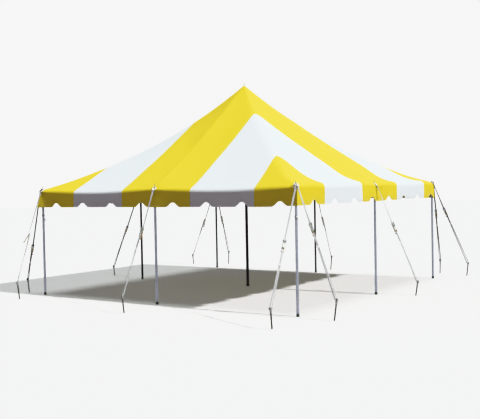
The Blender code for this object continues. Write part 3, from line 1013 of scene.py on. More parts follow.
def roof_path(turn, places, billow, lift):
    """A line on the roof along places given as pairs: across the side, and out from the centre."""
    return [Vector(roof_points(turn, np.array([line]), out, billow, lift)[0]) for line, out in places]


def notch_rise(turn, along):
    """Height of the hem above its level at places along a side."""
    height = np.zeros_like(along)
    for centre in (*NOTCH_CENTRES, *(-place for place in NOTCH_CENTRES)):
        away = abs(along - centre - DRIFTS[turn])
        inward = unit((NOTCH_HALF_WIDTH - away) / (NOTCH_HALF_WIDTH - NOTCH_TOP))
        height = np.maximum(height, NOTCH_HEIGHT * inward**1.5 * (3 - inward) / 2)
    return height


def valance_points(turn, line, depth, settings, lift=0.0):
    """Points of the valance: depth runs from 0 at the eave to 1 at the hem."""
    along = across_side(turn, line, HALF_SIDE)
    x, y = TURNS[turn] @ np.stack((along, np.full_like(along, -HALF_SIDE)))
    top = cloth_height(x, y, settings.billow)
    low = {
        0: (HALF_SIDE - along) / HEM_DROP_REACH, 3: (along - HALF_SIDE + HEM_DROP_REACH) / HEM_DROP_REACH,
    }.get(turn, 0 * along)
    hem = HEM_HEIGHT + notch_rise(turn, along) - HEM_DROP * unit(low)
    z = top + (hem - top) * depth
    drop = (top - z) / VALANCE_DROP
    off = np.zeros_like(along)
    for pin, (depth_share, left, right, draw) in zip((-HALF_SIDE, 0.0, HALF_SIDE), FOLDS[turn]):
        away = abs(along - pin) / (np.where(along < pin, left, right) * drop + 0.02)
        crease = np.maximum(0, 1 - away) - draw * np.maximum(0, 1 - away / 3)
        off += depth_share * settings.fold * drop * crease
    sway = sum(np.sin(along * a + 3 * turn + drop * 0.8 + c) for a, _, c in HEM_WAVES.T)
    calm = unit((HALF_SIDE - abs(along)) / 0.5) * np.clip(abs(along) / 0.3, 0.3, 1)
    off += settings.ripple * sway / math.sqrt(HEM_WAVES.shape[1]) * drop * calm
    ramp = unit((abs(along) - (HALF_SIDE - CORNER_RAMP)) / CORNER_RAMP)
    reach = off + lift
    x, y = TURNS[turn] @ np.stack((along + np.sign(along) * ramp * reach, -HALF_SIDE - reach))
    return np.stack((x, y, z), axis=1)


def cloth_mesh(settings):
    """Vertices, faces and flat lengths of the whole canopy, roof and valance in one sheet.

    Rows are counted down from the peak: COLUMNS of them on the roof, then those of the valance.
    """
    verts, first, count = [roof_points(0, np.array([0.0]), 0.0, settings.billow)], {}, 1
    rows = range(1, COLUMNS + VALANCE_ROWS + 1)
    for turn in range(4):
        for row in rows:
            line = side_line(min(row, COLUMNS))
            if row <= COLUMNS:
                verts.append(roof_points(turn, line, STATIONS[row], settings.billow))
            else:
                verts.append(valance_points(turn, line, (row - COLUMNS) / VALANCE_ROWS, settings))
            first[turn, row] = count
            count += len(line)

    def vertex(turn, row, column):
        columns = min(row, COLUMNS)
        if column == columns:
            turn, column = (turn + 1) % 4, -columns
        return first[turn, row] + column + columns if row else 0

    def flat(row, column):
        past = VALANCE_DROP * (row - COLUMNS) / VALANCE_ROWS
        down = STATIONS[row] if row <= COLUMNS else HALF_SIDE + past
        return math.copysign(STATIONS[abs(column)], column), down

    faces, uvs = [], []
    for turn in range(4):
        for row in rows:
            wide, shared = min(row, COLUMNS), min(row - 1, COLUMNS)
            for column in range(-wide, wide):
                corners = ((row - 1, column), (row, column), (row, column + 1), (row - 1, column + 1))
                corners = [corner for corner in corners if corner[0] == row or abs(corner[1]) <= shared]
                faces.append(tuple(vertex(turn, *corner) for corner in corners))
                uvs.append(tuple(flat(*corner) for corner in corners))
    return np.concatenate(verts), faces, uvs


def hem_path(settings, lift=0.0, height=0.0):
    """The hem all round, moved outwards and up."""
    points = np.concatenate([valance_points(turn, side_line(), 1.0, settings, lift) for turn in range(4)])
    return points + (0, 0, height)


def pin_place(pole):
    side_x, side_y = PINS[pole]
    return Vector((side_x * PIN_LINE, side_y * PIN_LINE, 0))


def each_guy():
    """Name, pole and number on it of each guy, its stake's foot and height, and its spool's share."""
    for pole, guys in GUYS.items():
        for count, (foot, height, share) in enumerate(guys):
            name = pole if pole in MIDDLES else f"{pole}_{'ab'[count]}"
            yield name, pole, count, Vector((*foot, 0)), height, share


# Operators


class MARQUEE_OT_canopy(bpy.types.Operator):
    """Makes the striped roof and its scalloped valance as one sheet of cloth"""

    bl_idname = "marquee.canopy"
    bl_label = "Canopy"

    def execute(self, context):
        settings = context.scene.marquee_canopy
        verts, faces, uvs = cloth_mesh(settings)
        canopy = mesh_object("canopy", verts, faces, canopy_vinyl(settings), uvs, 60)
        wall = canopy.modifiers.new("Cloth", "SOLIDIFY")
        wall.thickness = settings.thickness
        wall.offset = -1
        adopt(canopy, "yellow_vinyl", *(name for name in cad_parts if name.startswith("canopy_")))
        return {"FINISHED"}


class MARQUEE_OT_trim(bpy.types.Operator):
    """Sews the seams, binds the hem, tapes the hips underneath and sets the eyelets"""

    bl_idname = "marquee.trim"
    bl_label = "Canopy trim"

    def execute(self, context):
        canopy, trim = context.scene.marquee_canopy, context.scene.marquee_trim
        sewn, white = stitch_tree(), thread("white_thread", (0.80, 0.80, 0.74))
        settings = {"Pitch": trim.stitch, "Length": trim.stitch * 0.62, "Material": white}
        rows = {
            "roof_stitches": [
                (self.seam(canopy, turn, line), False) for turn in range(4) for line in self.seam_lines()
            ],
            "valance_stitches": [
                (hem_path(canopy, THREAD_LIFT, height), True) for height in HEM_STITCH_RISES
            ],
        }
        for name, chains in rows.items():
            adopt(show(name, Tree.run(sewn, name, chains, settings)), "white_vinyl")
        mesh = Tree.run(tape_tree(), "hem_binding", [(hem_path(canopy, height=BINDING_RISE), True)], {
            "Width": trim.binding, "Material": trim_vinyl(canopy),
        })
        adopt(show("hem_binding", mesh, 60), "yellow_vinyl")
        self.under_tapes(canopy)
        self.eyelets(canopy, trim)
        return {"FINISHED"}

    def seam_lines(self):
        for centre in (INNER_STRIPE - LAP_HALF_WIDTH, OUTER_STRIPE + LAP_HALF_WIDTH):
            for edge in (-STITCH_ROW_OFFSET, STITCH_ROW_OFFSET):
                yield centre + edge
                yield -centre - edge

    def seam(self, canopy, turn, line):
        outs = np.linspace(abs(line) + 0.03, HALF_SIDE - 0.01, 70)
        return roof_path(turn, ((line, out) for out in outs), canopy.billow, THREAD_LIFT)

    def under_tapes(self, canopy):
        """Webbing sewn under each hip, and inside the eave from corner to corner."""
        ribbons = Ribbons()
        for turn in range(4):
            outs = np.linspace(0.10, HALF_SIDE - 0.06, 60)
            fall = NEAR_HIP_TAPE_DROP if turn == 0 else HIP_TAPE_DROP
            path = roof_path(turn, zip(outs, outs), canopy.billow, -fall)
            corner = Vector((*(TURNS[turn] @ np.array((1.0, -1.0))), 0)).normalized()
            ribbons.add(path, corner.cross(UP), HIP_TAPE_WIDTH, 0.002)
        for turn in range(4):
            inner = side_line()[TAPE_STOP + 1:-TAPE_STOP]
            points = valance_points(turn, inner, 0.08, canopy, -0.0045)
            ribbons.add([Vector(point) for point in points], UP, EAVE_TAPE_WIDTH, 0.0016)
        tape = ribbons.build("canopy_tapes", woven("canopy_tape", (0.62, 0.62, 0.58), (0.34, 0.32, 0.28)))
        adopt(tape, "white_webbing")

    def eyelets(self, canopy, trim):
        """A rimmed eyelet round each pin, square to the cloth there."""
        bm = bmesh.new()
        rim = trim.eyelet
        spots = [(pin_place(pole), PIN_RADIUS + EYELET_PLAY) for pole in PINS]
        for place, bore in (*spots, (Vector(), CENTRE_PIN_RADIUS + EYELET_PLAY)):
            out = place.normalized()
            near, far = place - out * 0.015, place + out * 0.010
            slope = far - near
            heights = [float(cloth_height(at.x, at.y, canopy.billow)) for at in (near, far, place)]
            slope.z = heights[1] - heights[0]
            if not out.length:
                slope, out = Vector((1, 0, 0)), Vector((1, 0, 0))
            normal = slope.cross(UP.cross(out).normalized()).normalized()
            normal = normal if normal.z > 0 else -normal
            turn = normal.to_track_quat("Z", "Y").to_matrix().to_4x4()
            profile = (
                (bore, 0.0006), (bore + 0.002, 0.0022), ((bore + rim) / 2, 0.0028), (rim - 0.001, 0.0012),
                (rim, -0.0012), (rim - 0.001, -0.004), (bore + 0.001, -0.004), (bore, 0.0006),
            )
            add_turned(bm, profile, 28, Matrix.Translation((place.x, place.y, heights[2] + 0.0012)) @ turn)
        brass = plain_metal("eyelet_brass", (0.72, 0.56, 0.26), (0.30, 0.22, 0.11), 60.0)
        adopt(bmesh_object("eyelets", bm, [brass]), "yellow_vinyl")


class MARQUEE_OT_poles(bpy.types.Operator):
    """Makes the eight side poles and the jointed centre pole with their caps, pins and feet"""

    bl_idname = "marquee.poles"
    bl_label = "Poles"

    def execute(self, context):
        poles = context.scene.marquee_poles
        bright = zinc("galvanised_tube", poles.steel, 70.0, 0.70, 0.40)
        # A darker, duller copy of the galvanised tube: painted shade for the centre pole and the poles in
        # SHADED_POLES.
        dull = zinc("shade_painted_tube", poles.shaded, 70.0, 0.10, 0.65)
        pin_steel = plain_metal("pin_steel", (0.30, 0.31, 0.32), (0.10, 0.09, 0.08), 40.0)
        rubber = moulded("foot_rubber", (0.020, 0.026, 0.018), 0.6)
        for name, (side_x, side_y) in PINS.items():
            # The poles in SHADED_POLES take the darker tube: painted shade.
            finishes = [dull if name in SHADED_POLES else bright, pin_steel, rubber]
            edge = Vector((side_x, side_y)) * (PIN_LINE + CAP_RADIUS)
            plate = float(roof_height(edge.x, edge.y)) - SIDE_SEAT_DROP
            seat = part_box(f"side_pole_{name}")[1].z - EAVE_HEIGHT - PIN_STAND + plate
            place = Matrix.Translation(pin_place(name))
            self.side_pole(f"side_pole_{name}", finishes, place, seat, poles.sides)
        self.centre_pole([dull, pin_steel, rubber], poles.sides)
        return {"FINISHED"}

    def pin(self, bm, place, radius, top, seat, shoulder, taper, sides):
        """The spike on a cap, tapered at its end."""
        profile = (
            (0, top), (radius * 0.45, top - 0.0005), (radius * 0.85, top - shoulder), (radius, top - taper),
            (radius, seat - PIN_ROOT), (0, seat - PIN_ROOT),
        )
        add_turned(bm, profile, sides, place, 1)

    def cap(self, seat):
        """Profile of the flat end of a tube's cap."""
        return (0, seat), (CAP_RADIUS - 0.001, seat), (CAP_RADIUS, seat - 0.001)

    def side_pole(self, name, finishes, place, seat, sides):
        bm = bmesh.new()
        radius, foot, stop = SIDE_POLE_RADIUS, SIDE_FOOT_RADIUS, FOOT_HEIGHT + 0.001
        tube = (
            *self.cap(seat), (radius - 0.0015, seat - CAP_RISE + 0.002), (radius, seat - CAP_RISE),
            (radius, stop), (radius - 0.002, stop), (0, stop),
        )
        add_turned(bm, tube, sides, place, 0)
        add_torus(bm, radius - 0.0008, 0.0022, place @ lifted(seat - CAP_RISE), 0, sides, 8)
        self.pin(bm, place, PIN_RADIUS, EAVE_HEIGHT + PIN_STAND, seat, 0.004, 0.010, 18)
        add_torus(bm, PIN_RADIUS, 0.0018, place @ lifted(seat), 1, 18, 6)
        rubber = (
            (0, FOOT_HEIGHT), (foot - 0.002, FOOT_HEIGHT), (foot - 0.0004, FOOT_HEIGHT - 0.003),
            (foot - 0.0004, 0.016), (foot, 0.012), (foot, 0.002), (foot - 0.002, 0), (0, 0),
        )
        add_turned(bm, rubber, sides, place, 2)
        adopt(bmesh_object(f"dressed_{name}", bm, finishes), "galvanised_steel", name)

    def centre_pole(self, finishes, sides):
        radius, foot, sleeve = CENTRE_POLE_RADIUS, CENTRE_FOOT_RADIUS, SLEEVE_RADIUS
        joint, stop = CENTRE_JOINT_HEIGHT, FOOT_HEIGHT + 0.001
        seat = float(roof_height(CAP_RADIUS, 0.0)) - CENTRE_SEAT_DROP
        sleeve_top = joint + SLEEVE_LENGTH
        upper, lower, place = bmesh.new(), bmesh.new(), Matrix.Identity(4)
        tube = (
            *self.cap(seat), (radius, seat - CAP_RISE), (radius, sleeve_top), (sleeve - 0.001, sleeve_top),
            (sleeve, sleeve_top - 0.002), (sleeve, joint + 0.002), (sleeve - 0.001, joint + 0.0005),
            (0, joint + 0.0005),
        )
        add_turned(upper, tube, sides, place, 0)
        add_torus(upper, radius - 0.0008, 0.0024, lifted(seat - CAP_RISE), 0, sides, 8)
        add_torus(upper, radius + 0.0005, 0.0030, lifted(sleeve_top), 0, sides, 8)
        for height in SLEEVE_BOLTS:
            ends = [Vector((0, sign * (sleeve + 0.004), joint + height)) for sign in (-1, 1)]
            add_rod(upper, *ends, 0.0045, 1)
        self.pin(upper, place, CENTRE_PIN_RADIUS, PEAK_HEIGHT + PIN_STAND, seat, 0.005, 0.012, 20)
        add_turned(lower, ((0, joint), (radius, joint), (radius, stop), (0, stop)), sides, place, 0)
        rubber = (
            (0, FOOT_HEIGHT), (foot - 0.002, FOOT_HEIGHT), (foot, FOOT_HEIGHT - 0.003),
            (foot, 0.002), (foot - 0.002, 0), (0, 0),
        )
        add_turned(lower, rubber, sides, place, 2)
        for half, bm in (("upper", upper), ("lower", lower)):
            made = bmesh_object(f"dressed_centre_pole_{half}", bm, finishes)
            adopt(made, "galvanised_steel", f"centre_pole_{half}")


class MARQUEE_OT_ties(bpy.types.Operator):
    """Wraps the webbing ties round the two front corner poles"""

    bl_idname = "marquee.ties"
    bl_label = "Pole ties"

    def execute(self, context):
        white = woven("tie_webbing", FRESH_WEBBING, (0.50, 0.48, 0.42))
        for name, tail in TIE_TAILS.items():
            centre = pin_place(name) + UP * TIE_HEIGHT
            ribbons, path = Ribbons(), []
            for step in range(61):
                turn = 2 * math.pi * TIE_TURNS * step / 60
                radius = SIDE_POLE_RADIUS + 0.0016 + 0.0022 * step / 60
                path.append(centre + spot(radius, turn, 0.004 * math.sin(turn / 2)))
            ribbons.add(path, UP, TIE_WIDTH, TIE_THICKNESS)
            knot = centre + Vector((0.012, -SIDE_POLE_RADIUS - 0.006, 0))
            loop = [
                knot + Vector((0.011 * math.cos(a), -0.004 + 0.006 * math.sin(a), 0.010 * math.sin(a)))
                for a in (math.radians(30 * part) for part in range(13))
            ]
            ribbons.add(loop, Vector((0.2, -0.4, 1)), 0.014, TIE_THICKNESS)
            drop = []
            for share in (part / 9 for part in range(10)):
                swing = -0.006 + 0.08 * tail * math.sin(2.2 * share)
                drop.append(knot + Vector((0.008 + 0.80 * tail * share, swing, -0.010 - tail * share)))
            ribbons.add(drop, Vector((1, 0.25, 0)), 0.018, TIE_THICKNESS)
            adopt(ribbons.build(f"tie_{name}", white), "white_webbing", f"pole_tie_{name}")
        return {"FINISHED"}


class MARQUEE_OT_guys(bpy.types.Operator):
    """Makes the twelve ratchet guys: ring, strap, ratchet, link, and sling round the stake"""

    bl_idname = "marquee.guys"
    bl_label = "Guys"

    def execute(self, context):
        settings = context.scene.marquee_guys
        # Grey webbing: partly painted shade, standing in for the shaded side of the whitish straps; its soil
        # colour is dirt.
        clean = woven("guy_webbing", settings.webbing, (0.40, 0.39, 0.36))
        # A darker copy of the webbing: painted shade for the guys on the shaded sides; its soil colour is
        # dirt.
        shade_painted = woven("shade_painted_webbing", settings.shade_painted_colour, (0.10, 0.10, 0.08))
        fresh = woven("sleeve_webbing", FRESH_WEBBING, (0.55, 0.55, 0.52))
        self.plating = zinc("ring_zinc", (0.55, 0.57, 0.57), 160.0, 0.9, 0.28)
        self.grey = plain_metal("ratchet_grey", (0.33, 0.36, 0.34), (0.10, 0.11, 0.09), 45.0)
        gold = plain_metal("ratchet_gold", (0.50, 0.30, 0.11), (0.22, 0.13, 0.06), 30.0)
        # A darker, duller copy of the gold handle: painted shade for the guys not in BRIGHT_HANDLES.
        dull = plain_metal("ratchet_shade_painted", (0.20, 0.17, 0.12), (0.09, 0.07, 0.05), 30.0)
        self.black = moulded("grip_black", (0.018, 0.018, 0.018))
        self.stitches, self.teeth = [], []
        source = np.random.default_rng(21)
        for name, pole, count, foot, height, share in each_guy():
            line = self.line(settings, pole, foot, height, count)
            roll = TWISTS.get(name, source.uniform(-1, 1) * settings.twist)
            # The guys on the shaded sides take the darker webbing on their straps, reel and ring sleeve:
            # painted shade.
            self.webbing = shade_painted if name in SHADE_PAINTED_GUYS else clean
            self.sewn = shade_painted if name in SHADE_PAINTED_GUYS else fresh
            # Handles not in BRIGHT_HANDLES take the darker gold: painted shade.
            self.handle = gold if name in BRIGHT_HANDLES else dull
            self.guy(name, line, share, roll, settings.width)
        mesh = Tree.run(stitch_tree(), "strap_stitches", self.stitches, {
            "Pitch": 0.0056, "Length": 0.0040, "Thickness": 0.0011,
            "Material": thread("strap_thread", (0.66, 0.66, 0.62)),
        })
        adopt(show("strap_stitches", mesh), "white_webbing")
        values = {"Size": (0.0050, 0.0045, 0.0030), "Material": self.grey}
        mesh = Tree.run(tooth_tree(), "ratchet_teeth", self.teeth, values)
        adopt(show("ratchet_teeth", mesh), "galvanised_steel")
        return {"FINISHED"}

    def line(self, settings, pole, foot, height, level):
        """Ring centre, ends and directions of one guy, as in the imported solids."""
        pin = pin_place(pole)
        bearing = (foot - pin).normalized()
        tilt = settings.ring_tilt - RING_TILT_STEP * level
        turn = RING_TURN if pole in CORNERS else 0.0
        pull = bearing.lerp(Vector((*PINS[pole], 0)).normalized(), turn).normalized()
        inner = pin - pull * (PIN_RADIUS + RING_WIRE + 0.0003)
        inner.z = float(roof_height(pin.x, pin.y)) + RING_LIFT + level * RING_STACK
        fall = pull * math.cos(tilt) - Vector((0, 0, math.sin(tilt)))
        centre = inner + fall * RING_RADIUS
        grip = height - COLLAR_BELOW_TOP
        return {
            "ring": centre, "fall": fall, "side": UP.cross(pull), "top": centre + fall * RING_RADIUS,
            "end": foot + bearing * STAKE_LEAN * grip + UP * grip,
            "across": UP.cross(bearing), "bearing": bearing,
        }

    def guy(self, name, line, share, roll, width):
        """One whole guy; its ratchet and lower straps are rolled about the line."""
        down = (line["end"] - line["top"]).normalized()
        across = line["across"]
        face = across.cross(down)
        span = (line["end"] - line["top"]).length
        spool = line["top"] + down * share * span
        turned = Matrix.Rotation(roll, 3, down)
        low = turned @ across
        ratchet = Matrix((low, down * RATCHET_STRETCH, turned @ face)).transposed()
        link = spool + down * (RATCHET_BAR + SHORT_WEB_SHARE * span)
        ribbons = Ribbons()
        self.upper_strap(ribbons, line, down, face, spool, ratchet, width)
        self.short_strap(ribbons, spool, link, down, ratchet, width, low)
        self.sling(ribbons, line, link, down, low)
        adopt(ribbons.build(f"straps_{name}", self.webbing), "white_webbing", f"guy_{name}")
        normal = line["fall"].cross(line["side"])
        flat = Matrix((line["fall"], line["side"], normal)).transposed().to_4x4()
        at = Matrix.Translation(line["ring"]) @ flat
        bm = bmesh.new()
        add_torus(bm, RING_RADIUS, RING_WIRE, at, oval=RING_OVAL)
        self.sleeve(name, at)
        self.link_ring(bm, link, down, low)
        adopt(bmesh_object(f"rings_{name}", bm, [self.plating]), "galvanised_steel")
        self.ratchet(name, spool, ratchet, width)

    def sleeve(self, name, at, around=42, sides=12):
        """Webbing sewn round the ring all but where it bears on the pin."""
        verts, faces, uvs = [], [], []
        for step in range(around + 1):
            turn = SLEEVE_ARC * (step / around - 0.5)
            out = spot(1, turn)
            wire = RING_WIRE + (SLEEVE_WIRE - RING_WIRE) * min(1, (min(step, around - step) + 0.6) / 2)
            middle = Vector((out.x * RING_RADIUS, out.y * RING_RADIUS * RING_OVAL, 0))
            for angle in circle(sides):
                flat = 1 + 0.12 * math.cos(3 * angle + 8 * turn)
                rise = Vector((0, 0, wire * flat * math.sin(angle)))
                verts.append(at @ (middle + out * wire * flat * math.cos(angle) + rise))
        for step in range(around):
            here, there = (RING_RADIUS * SLEEVE_ARC * place / around for place in (step, step + 1))
            low, ahead = step * sides, (step + 1) * sides
            for part in range(sides):
                up = (part + 1) % sides
                faces.append((low + part, ahead + part, ahead + up, low + up))
                left, right = 0.004 * part - 0.024, 0.004 * (part + 1) - 0.024
                uvs.append(((left, here), (left, there), (right, there), (right, here)))
        for ring in (range(sides), reversed(range(around * sides, (around + 1) * sides))):
            faces.append(tuple(ring))
            uvs.append(((0, 0),) * sides)
        adopt(mesh_object(f"sleeve_{name}", verts, faces, self.sewn, uvs, 50), "white_webbing")

    def upper_strap(self, ribbons, line, down, face, spool, ratchet, width):
        """The long strap: sewn back on itself round the ring, then down on to the spool."""
        wrap = SLEEVE_WIRE + WEB_THICKNESS * 0.6
        top, across = line["top"], line["across"]

        def leg(side, shares):
            """Places on one leg of the fold, which closes in on the other leg as it runs down."""
            start = top + face * wrap * side
            ease = face * (0.0021 - wrap) * side
            return [start + down * STRAP_TAIL * share + ease * min(1, share * 2.2) for share in shares]

        path = leg(1, (1, 0.8, 0.6, 0.45, 0.3, 0.15, 0.02))
        for turn in (math.pi * step / 7 for step in range(1, 7)):
            path.append(top + face * wrap * math.cos(turn) - down * wrap * math.sin(turn))
        path += leg(-1, (0.02, 0.15, 0.3, 0.45, 0.7, 1))
        gathers = (*(1,) * 3, 1.02, 1.06, 1.12, 1.18, *(1.2,) * 6, 1.18, 1.12, 1.06, 1.02, *(1,) * 26)
        turns = [across] * len(path)
        reel = ratchet @ Vector((0, *SPOOL_AT))
        goal = spool + reel - down * 0.012 + ratchet @ Vector((0, 0, 0.010))
        start = path[-1]
        reel_side = ratchet @ Vector((1, 0, 0))
        if reel_side.dot(across) < 0:
            reel_side.negate()
        for along in (step / 24 for step in range(1, 25)):
            path.append(start + (goal - start) * along)
            turns.append(across.lerp(reel_side, along).normalized())
        ribbons.add(path, turns, [width * gather for gather in gathers], WEB_THICKNESS * 0.85)
        self.box_stitch(top + down * 0.068 + face * 0.0062, across, down, width)

    def box_stitch(self, centre, across, along, width):
        """A sewn box with a cross in it, on a strap's face."""
        half, tall = width * 0.36, 0.030
        a, b, c, d = (centre + across * x * half + along * y * tall for x, y in SQUARE)
        self.stitches.extend((([a, b, c, d], True), ([a, c], False), ([b, d], False)))

    def short_strap(self, ribbons, spool, link, down, ratchet, width, across):
        """The fixed strap: a flat loop from the ratchet's bolt to the link."""
        bolt = spool + ratchet @ Vector((0, RATCHET_BAR, 0.001))
        run = link - down * 0.012 - bolt
        face = ratchet @ Vector((0, 0, 1))
        side = ratchet @ Vector((1, 0, 0))
        shares = [step / 12 for step in range(13)]
        sides = [side.lerp(across, along).normalized() for along in shares]
        swells = [0.0022 + 0.006 * math.sin(math.pi * along) for along in shares]
        for sign in (1, -1):
            path = [bolt + run * along + face * sign * swell for along, swell in zip(shares, swells)]
            ribbons.add(path, sides, width * 0.94, WEB_THICKNESS * 0.8)
        self.box_stitch(bolt + run * 0.86 + across.cross(down) * 0.0062, across, down, width * 0.8)

    def link_ring(self, bm, link, down, across):
        """A rectangular steel ring between the two lower straps."""
        wide, tall = LINK_SIZE
        corners = [link + across * x * wide + down * y * tall for x, y in SQUARE]
        for first, second in zip(corners, ahead_of(corners)):
            add_rod(bm, first, second, LINK_WIRE)
            add_torus(bm, 0.0001, LINK_WIRE, Matrix.Translation(first), 0, 8, 8)

    def sling(self, ribbons, line, link, down, across):
        """The lower strap: a long narrow loop from the link, wound round the stake's top."""
        face = across.cross(down)
        eye = link + down * 0.016
        end = line["end"]
        lean = (line["bearing"] * STAKE_LEAN + UP).normalized()
        for sign in (1, -1):
            path, sides = [], []
            for along in (step / 24 for step in range(25)):
                spread = 0.010 + 0.008 * along**1.5
                sag = 0.004 * sign * math.sin(math.pi * along)
                off = across * sign * spread + face * (sag + 0.0022 * sign)
                path.append(eye + (end - down * 0.02 - eye) * along + off)
                sides.append((across + face * 0.55 * sign * along).normalized())
            ribbons.add(path, sides, SLING_WIDTH, WEB_THICKNESS * 0.8)
        fold = [
            link + down * (0.034 - 0.030 * math.sin(turn)) + face * 0.0065 * math.cos(turn)
            for turn in (math.pi * part / 10 for part in range(11))
        ]
        ribbons.add(fold, across, 0.034, WEB_THICKNESS)
        aside = lean.cross(line["bearing"]).normalized()
        away = aside.cross(lean)
        path, sides = [], []
        for along in (step / 72 for step in range(73)):
            turn = 2 * math.pi * WRAP_TURNS * along
            radius = STAKE_RADIUS + 0.0020 + 0.0030 * (0.5 + 0.5 * math.sin(turn * 1.7)) * along
            rise = 0.018 - 0.062 * along + 0.004 * math.sin(2 * turn)
            path.append(end + lean * rise + (away * math.cos(turn) + aside * math.sin(turn)) * radius)
            sides.append((lean + aside * 0.12 * math.cos(turn)).normalized())
        ribbons.add(path, sides, WRAP_WIDTH, WEB_THICKNESS * 0.8)
        for sign in (1, -1):
            loop = []
            for along in (step / 14 for step in range(15)):
                turn = math.pi * (0.15 + along) * sign
                reach = STAKE_RADIUS + 0.006 + 0.008 * math.sin(math.pi * along)
                off = aside * math.sin(turn) * reach - away * math.cos(turn) * reach
                loop.append(end + lean * (0.012 - 0.02 * along) + off)
            ribbons.add(loop, (lean + aside * 0.3 * sign).normalized(), 0.022, WEB_THICKNESS * 0.8)

    def ratchet(self, name, spool, turn, width):
        """A ratchet buckle: frame plates, spool wheels, floor and pawl, and the handle that turns on it."""
        place = Matrix.Translation(spool) @ turn.to_4x4()
        axle = Matrix.Translation((0, *SPOOL_AT))
        lever = place @ axle @ Matrix.Rotation(OPEN_HANDLES.get(name, 0.0), 4, "X") @ axle.inverted()
        upright = Matrix.Rotation(math.pi / 2, 4, "Y")
        bm = bmesh.new()
        for sign in (-1, 1):
            plates = ((place, FRAME_PLATE, 0.0045), (lever, HANDLE_PLATE, 0.0075))
            for material, (held, outline, gap) in enumerate(plates):
                side = held @ Matrix.Translation((sign * (width / 2 + gap), 0, 0)) @ upright
                add_plate(bm, outline, PLATE, side, material)
            wheel = place @ Matrix.Translation((sign * (width / 2 + 0.0105), *SPOOL_AT))
            rim = [
                wheel @ Vector((0, WHEEL_RADIUS * math.cos(a), WHEEL_RADIUS * math.sin(a)))
                for a in circle(WHEEL_TEETH)
            ]
            self.teeth.append((rim, True))
            hub, tip, nut = (
                place @ Vector((sign * (width / 2 + out), *SPOOL_AT)) for out in (0.0090, 0.0125, 0.0165)
            )
            add_rod(bm, hub, tip, WHEEL_RADIUS - 0.0005, 0, 26)
            add_rod(bm, tip, nut, 0.0075, 0, 6)
        half = width / 2 + 0.010
        rods = (
            (place, RATCHET_BAR, 0.001, 0.005, 0), (place, 0.052, 0.004, 0.004, 0),
            (lever, 0.150, 0.020, 0.004, 1), (lever, 0.190, 0.020, 0.0095, 2),
        )
        for held, y, z, radius, material in rods:
            add_rod(bm, held @ Vector((-half, y, z)), held @ Vector((half, y, z)), radius, material)
        # Floor, pawl and the handle's bridge: past the strap's width, long, corners, thick, place, tilt
        for held, wider, long, corner, thick, y, z, tilt, material in (
            (place, 0.004, 0.060, 0.004, PLATE, 0.105, -0.010, 0, 0),
            (place, 0.010, 0.030, 0.003, 0.003, 0.070, 0.014, 0.18, 0),
            (lever, 0.014, 0.058, 0.006, 0.0026, 0.118, 0.0235, 0, 1),
        ):
            at = held @ Matrix.Translation((0, y, z)) @ Matrix.Rotation(tilt, 4, "X")
            add_plate(bm, rounded_outline(width + wider, long, corner), thick, at, material)
        adopt(bmesh_object(f"ratchet_{name}", bm, [self.grey, self.handle, self.black]), "galvanised_steel")
        self.reel(name, place, width)

    def reel(self, name, place, width):
        """Strap wound on the ratchet's spool."""
        ribbons, path = Ribbons(), []
        y, z = SPOOL_AT
        for along in (step / 84 for step in range(85)):
            turn, radius = 2 * math.pi * REEL_TURNS * along, 0.0065 + 0.0075 * along
            path.append(place @ Vector((0, y + radius * math.cos(turn), z + radius * math.sin(turn))))
        ribbons.add(path, place.to_3x3() @ Vector((1, 0, 0)), width * 0.98, 0.0020)
        adopt(ribbons.build(f"reel_{name}", self.webbing), "white_webbing")


class MARQUEE_OT_stakes(bpy.types.Operator):
    """Makes the twelve round iron stakes with their hammered heads"""

    bl_idname = "marquee.stakes"
    bl_label = "Stakes"

    def execute(self, context):
        iron = stake_iron(context.scene.marquee_stakes.iron)
        for name, pole, _, foot, height, _ in each_guy():
            lean = (foot - pin_place(pole)).normalized() * STAKE_LEAN
            bm = bmesh.new()
            profile = (
                (0, height), (0.006, height - 0.0004), (0.0105, height - 0.0018), (0.0128, height - 0.0045),
                (0.0131, height - 0.008), (0.0125, height - 0.014), (STAKE_RADIUS, height - 0.02),
                (STAKE_RADIUS, 0), (0, 0),
            )
            add_turned(bm, profile, 24, Matrix.Identity(4))
            for vert in bm.verts:
                vert.co += lean * vert.co.z + foot
            adopt(bmesh_object(f"dressed_stake_{name}", bm, [iron]), "stake_iron", f"stake_{name}")
        return {"FINISHED"}


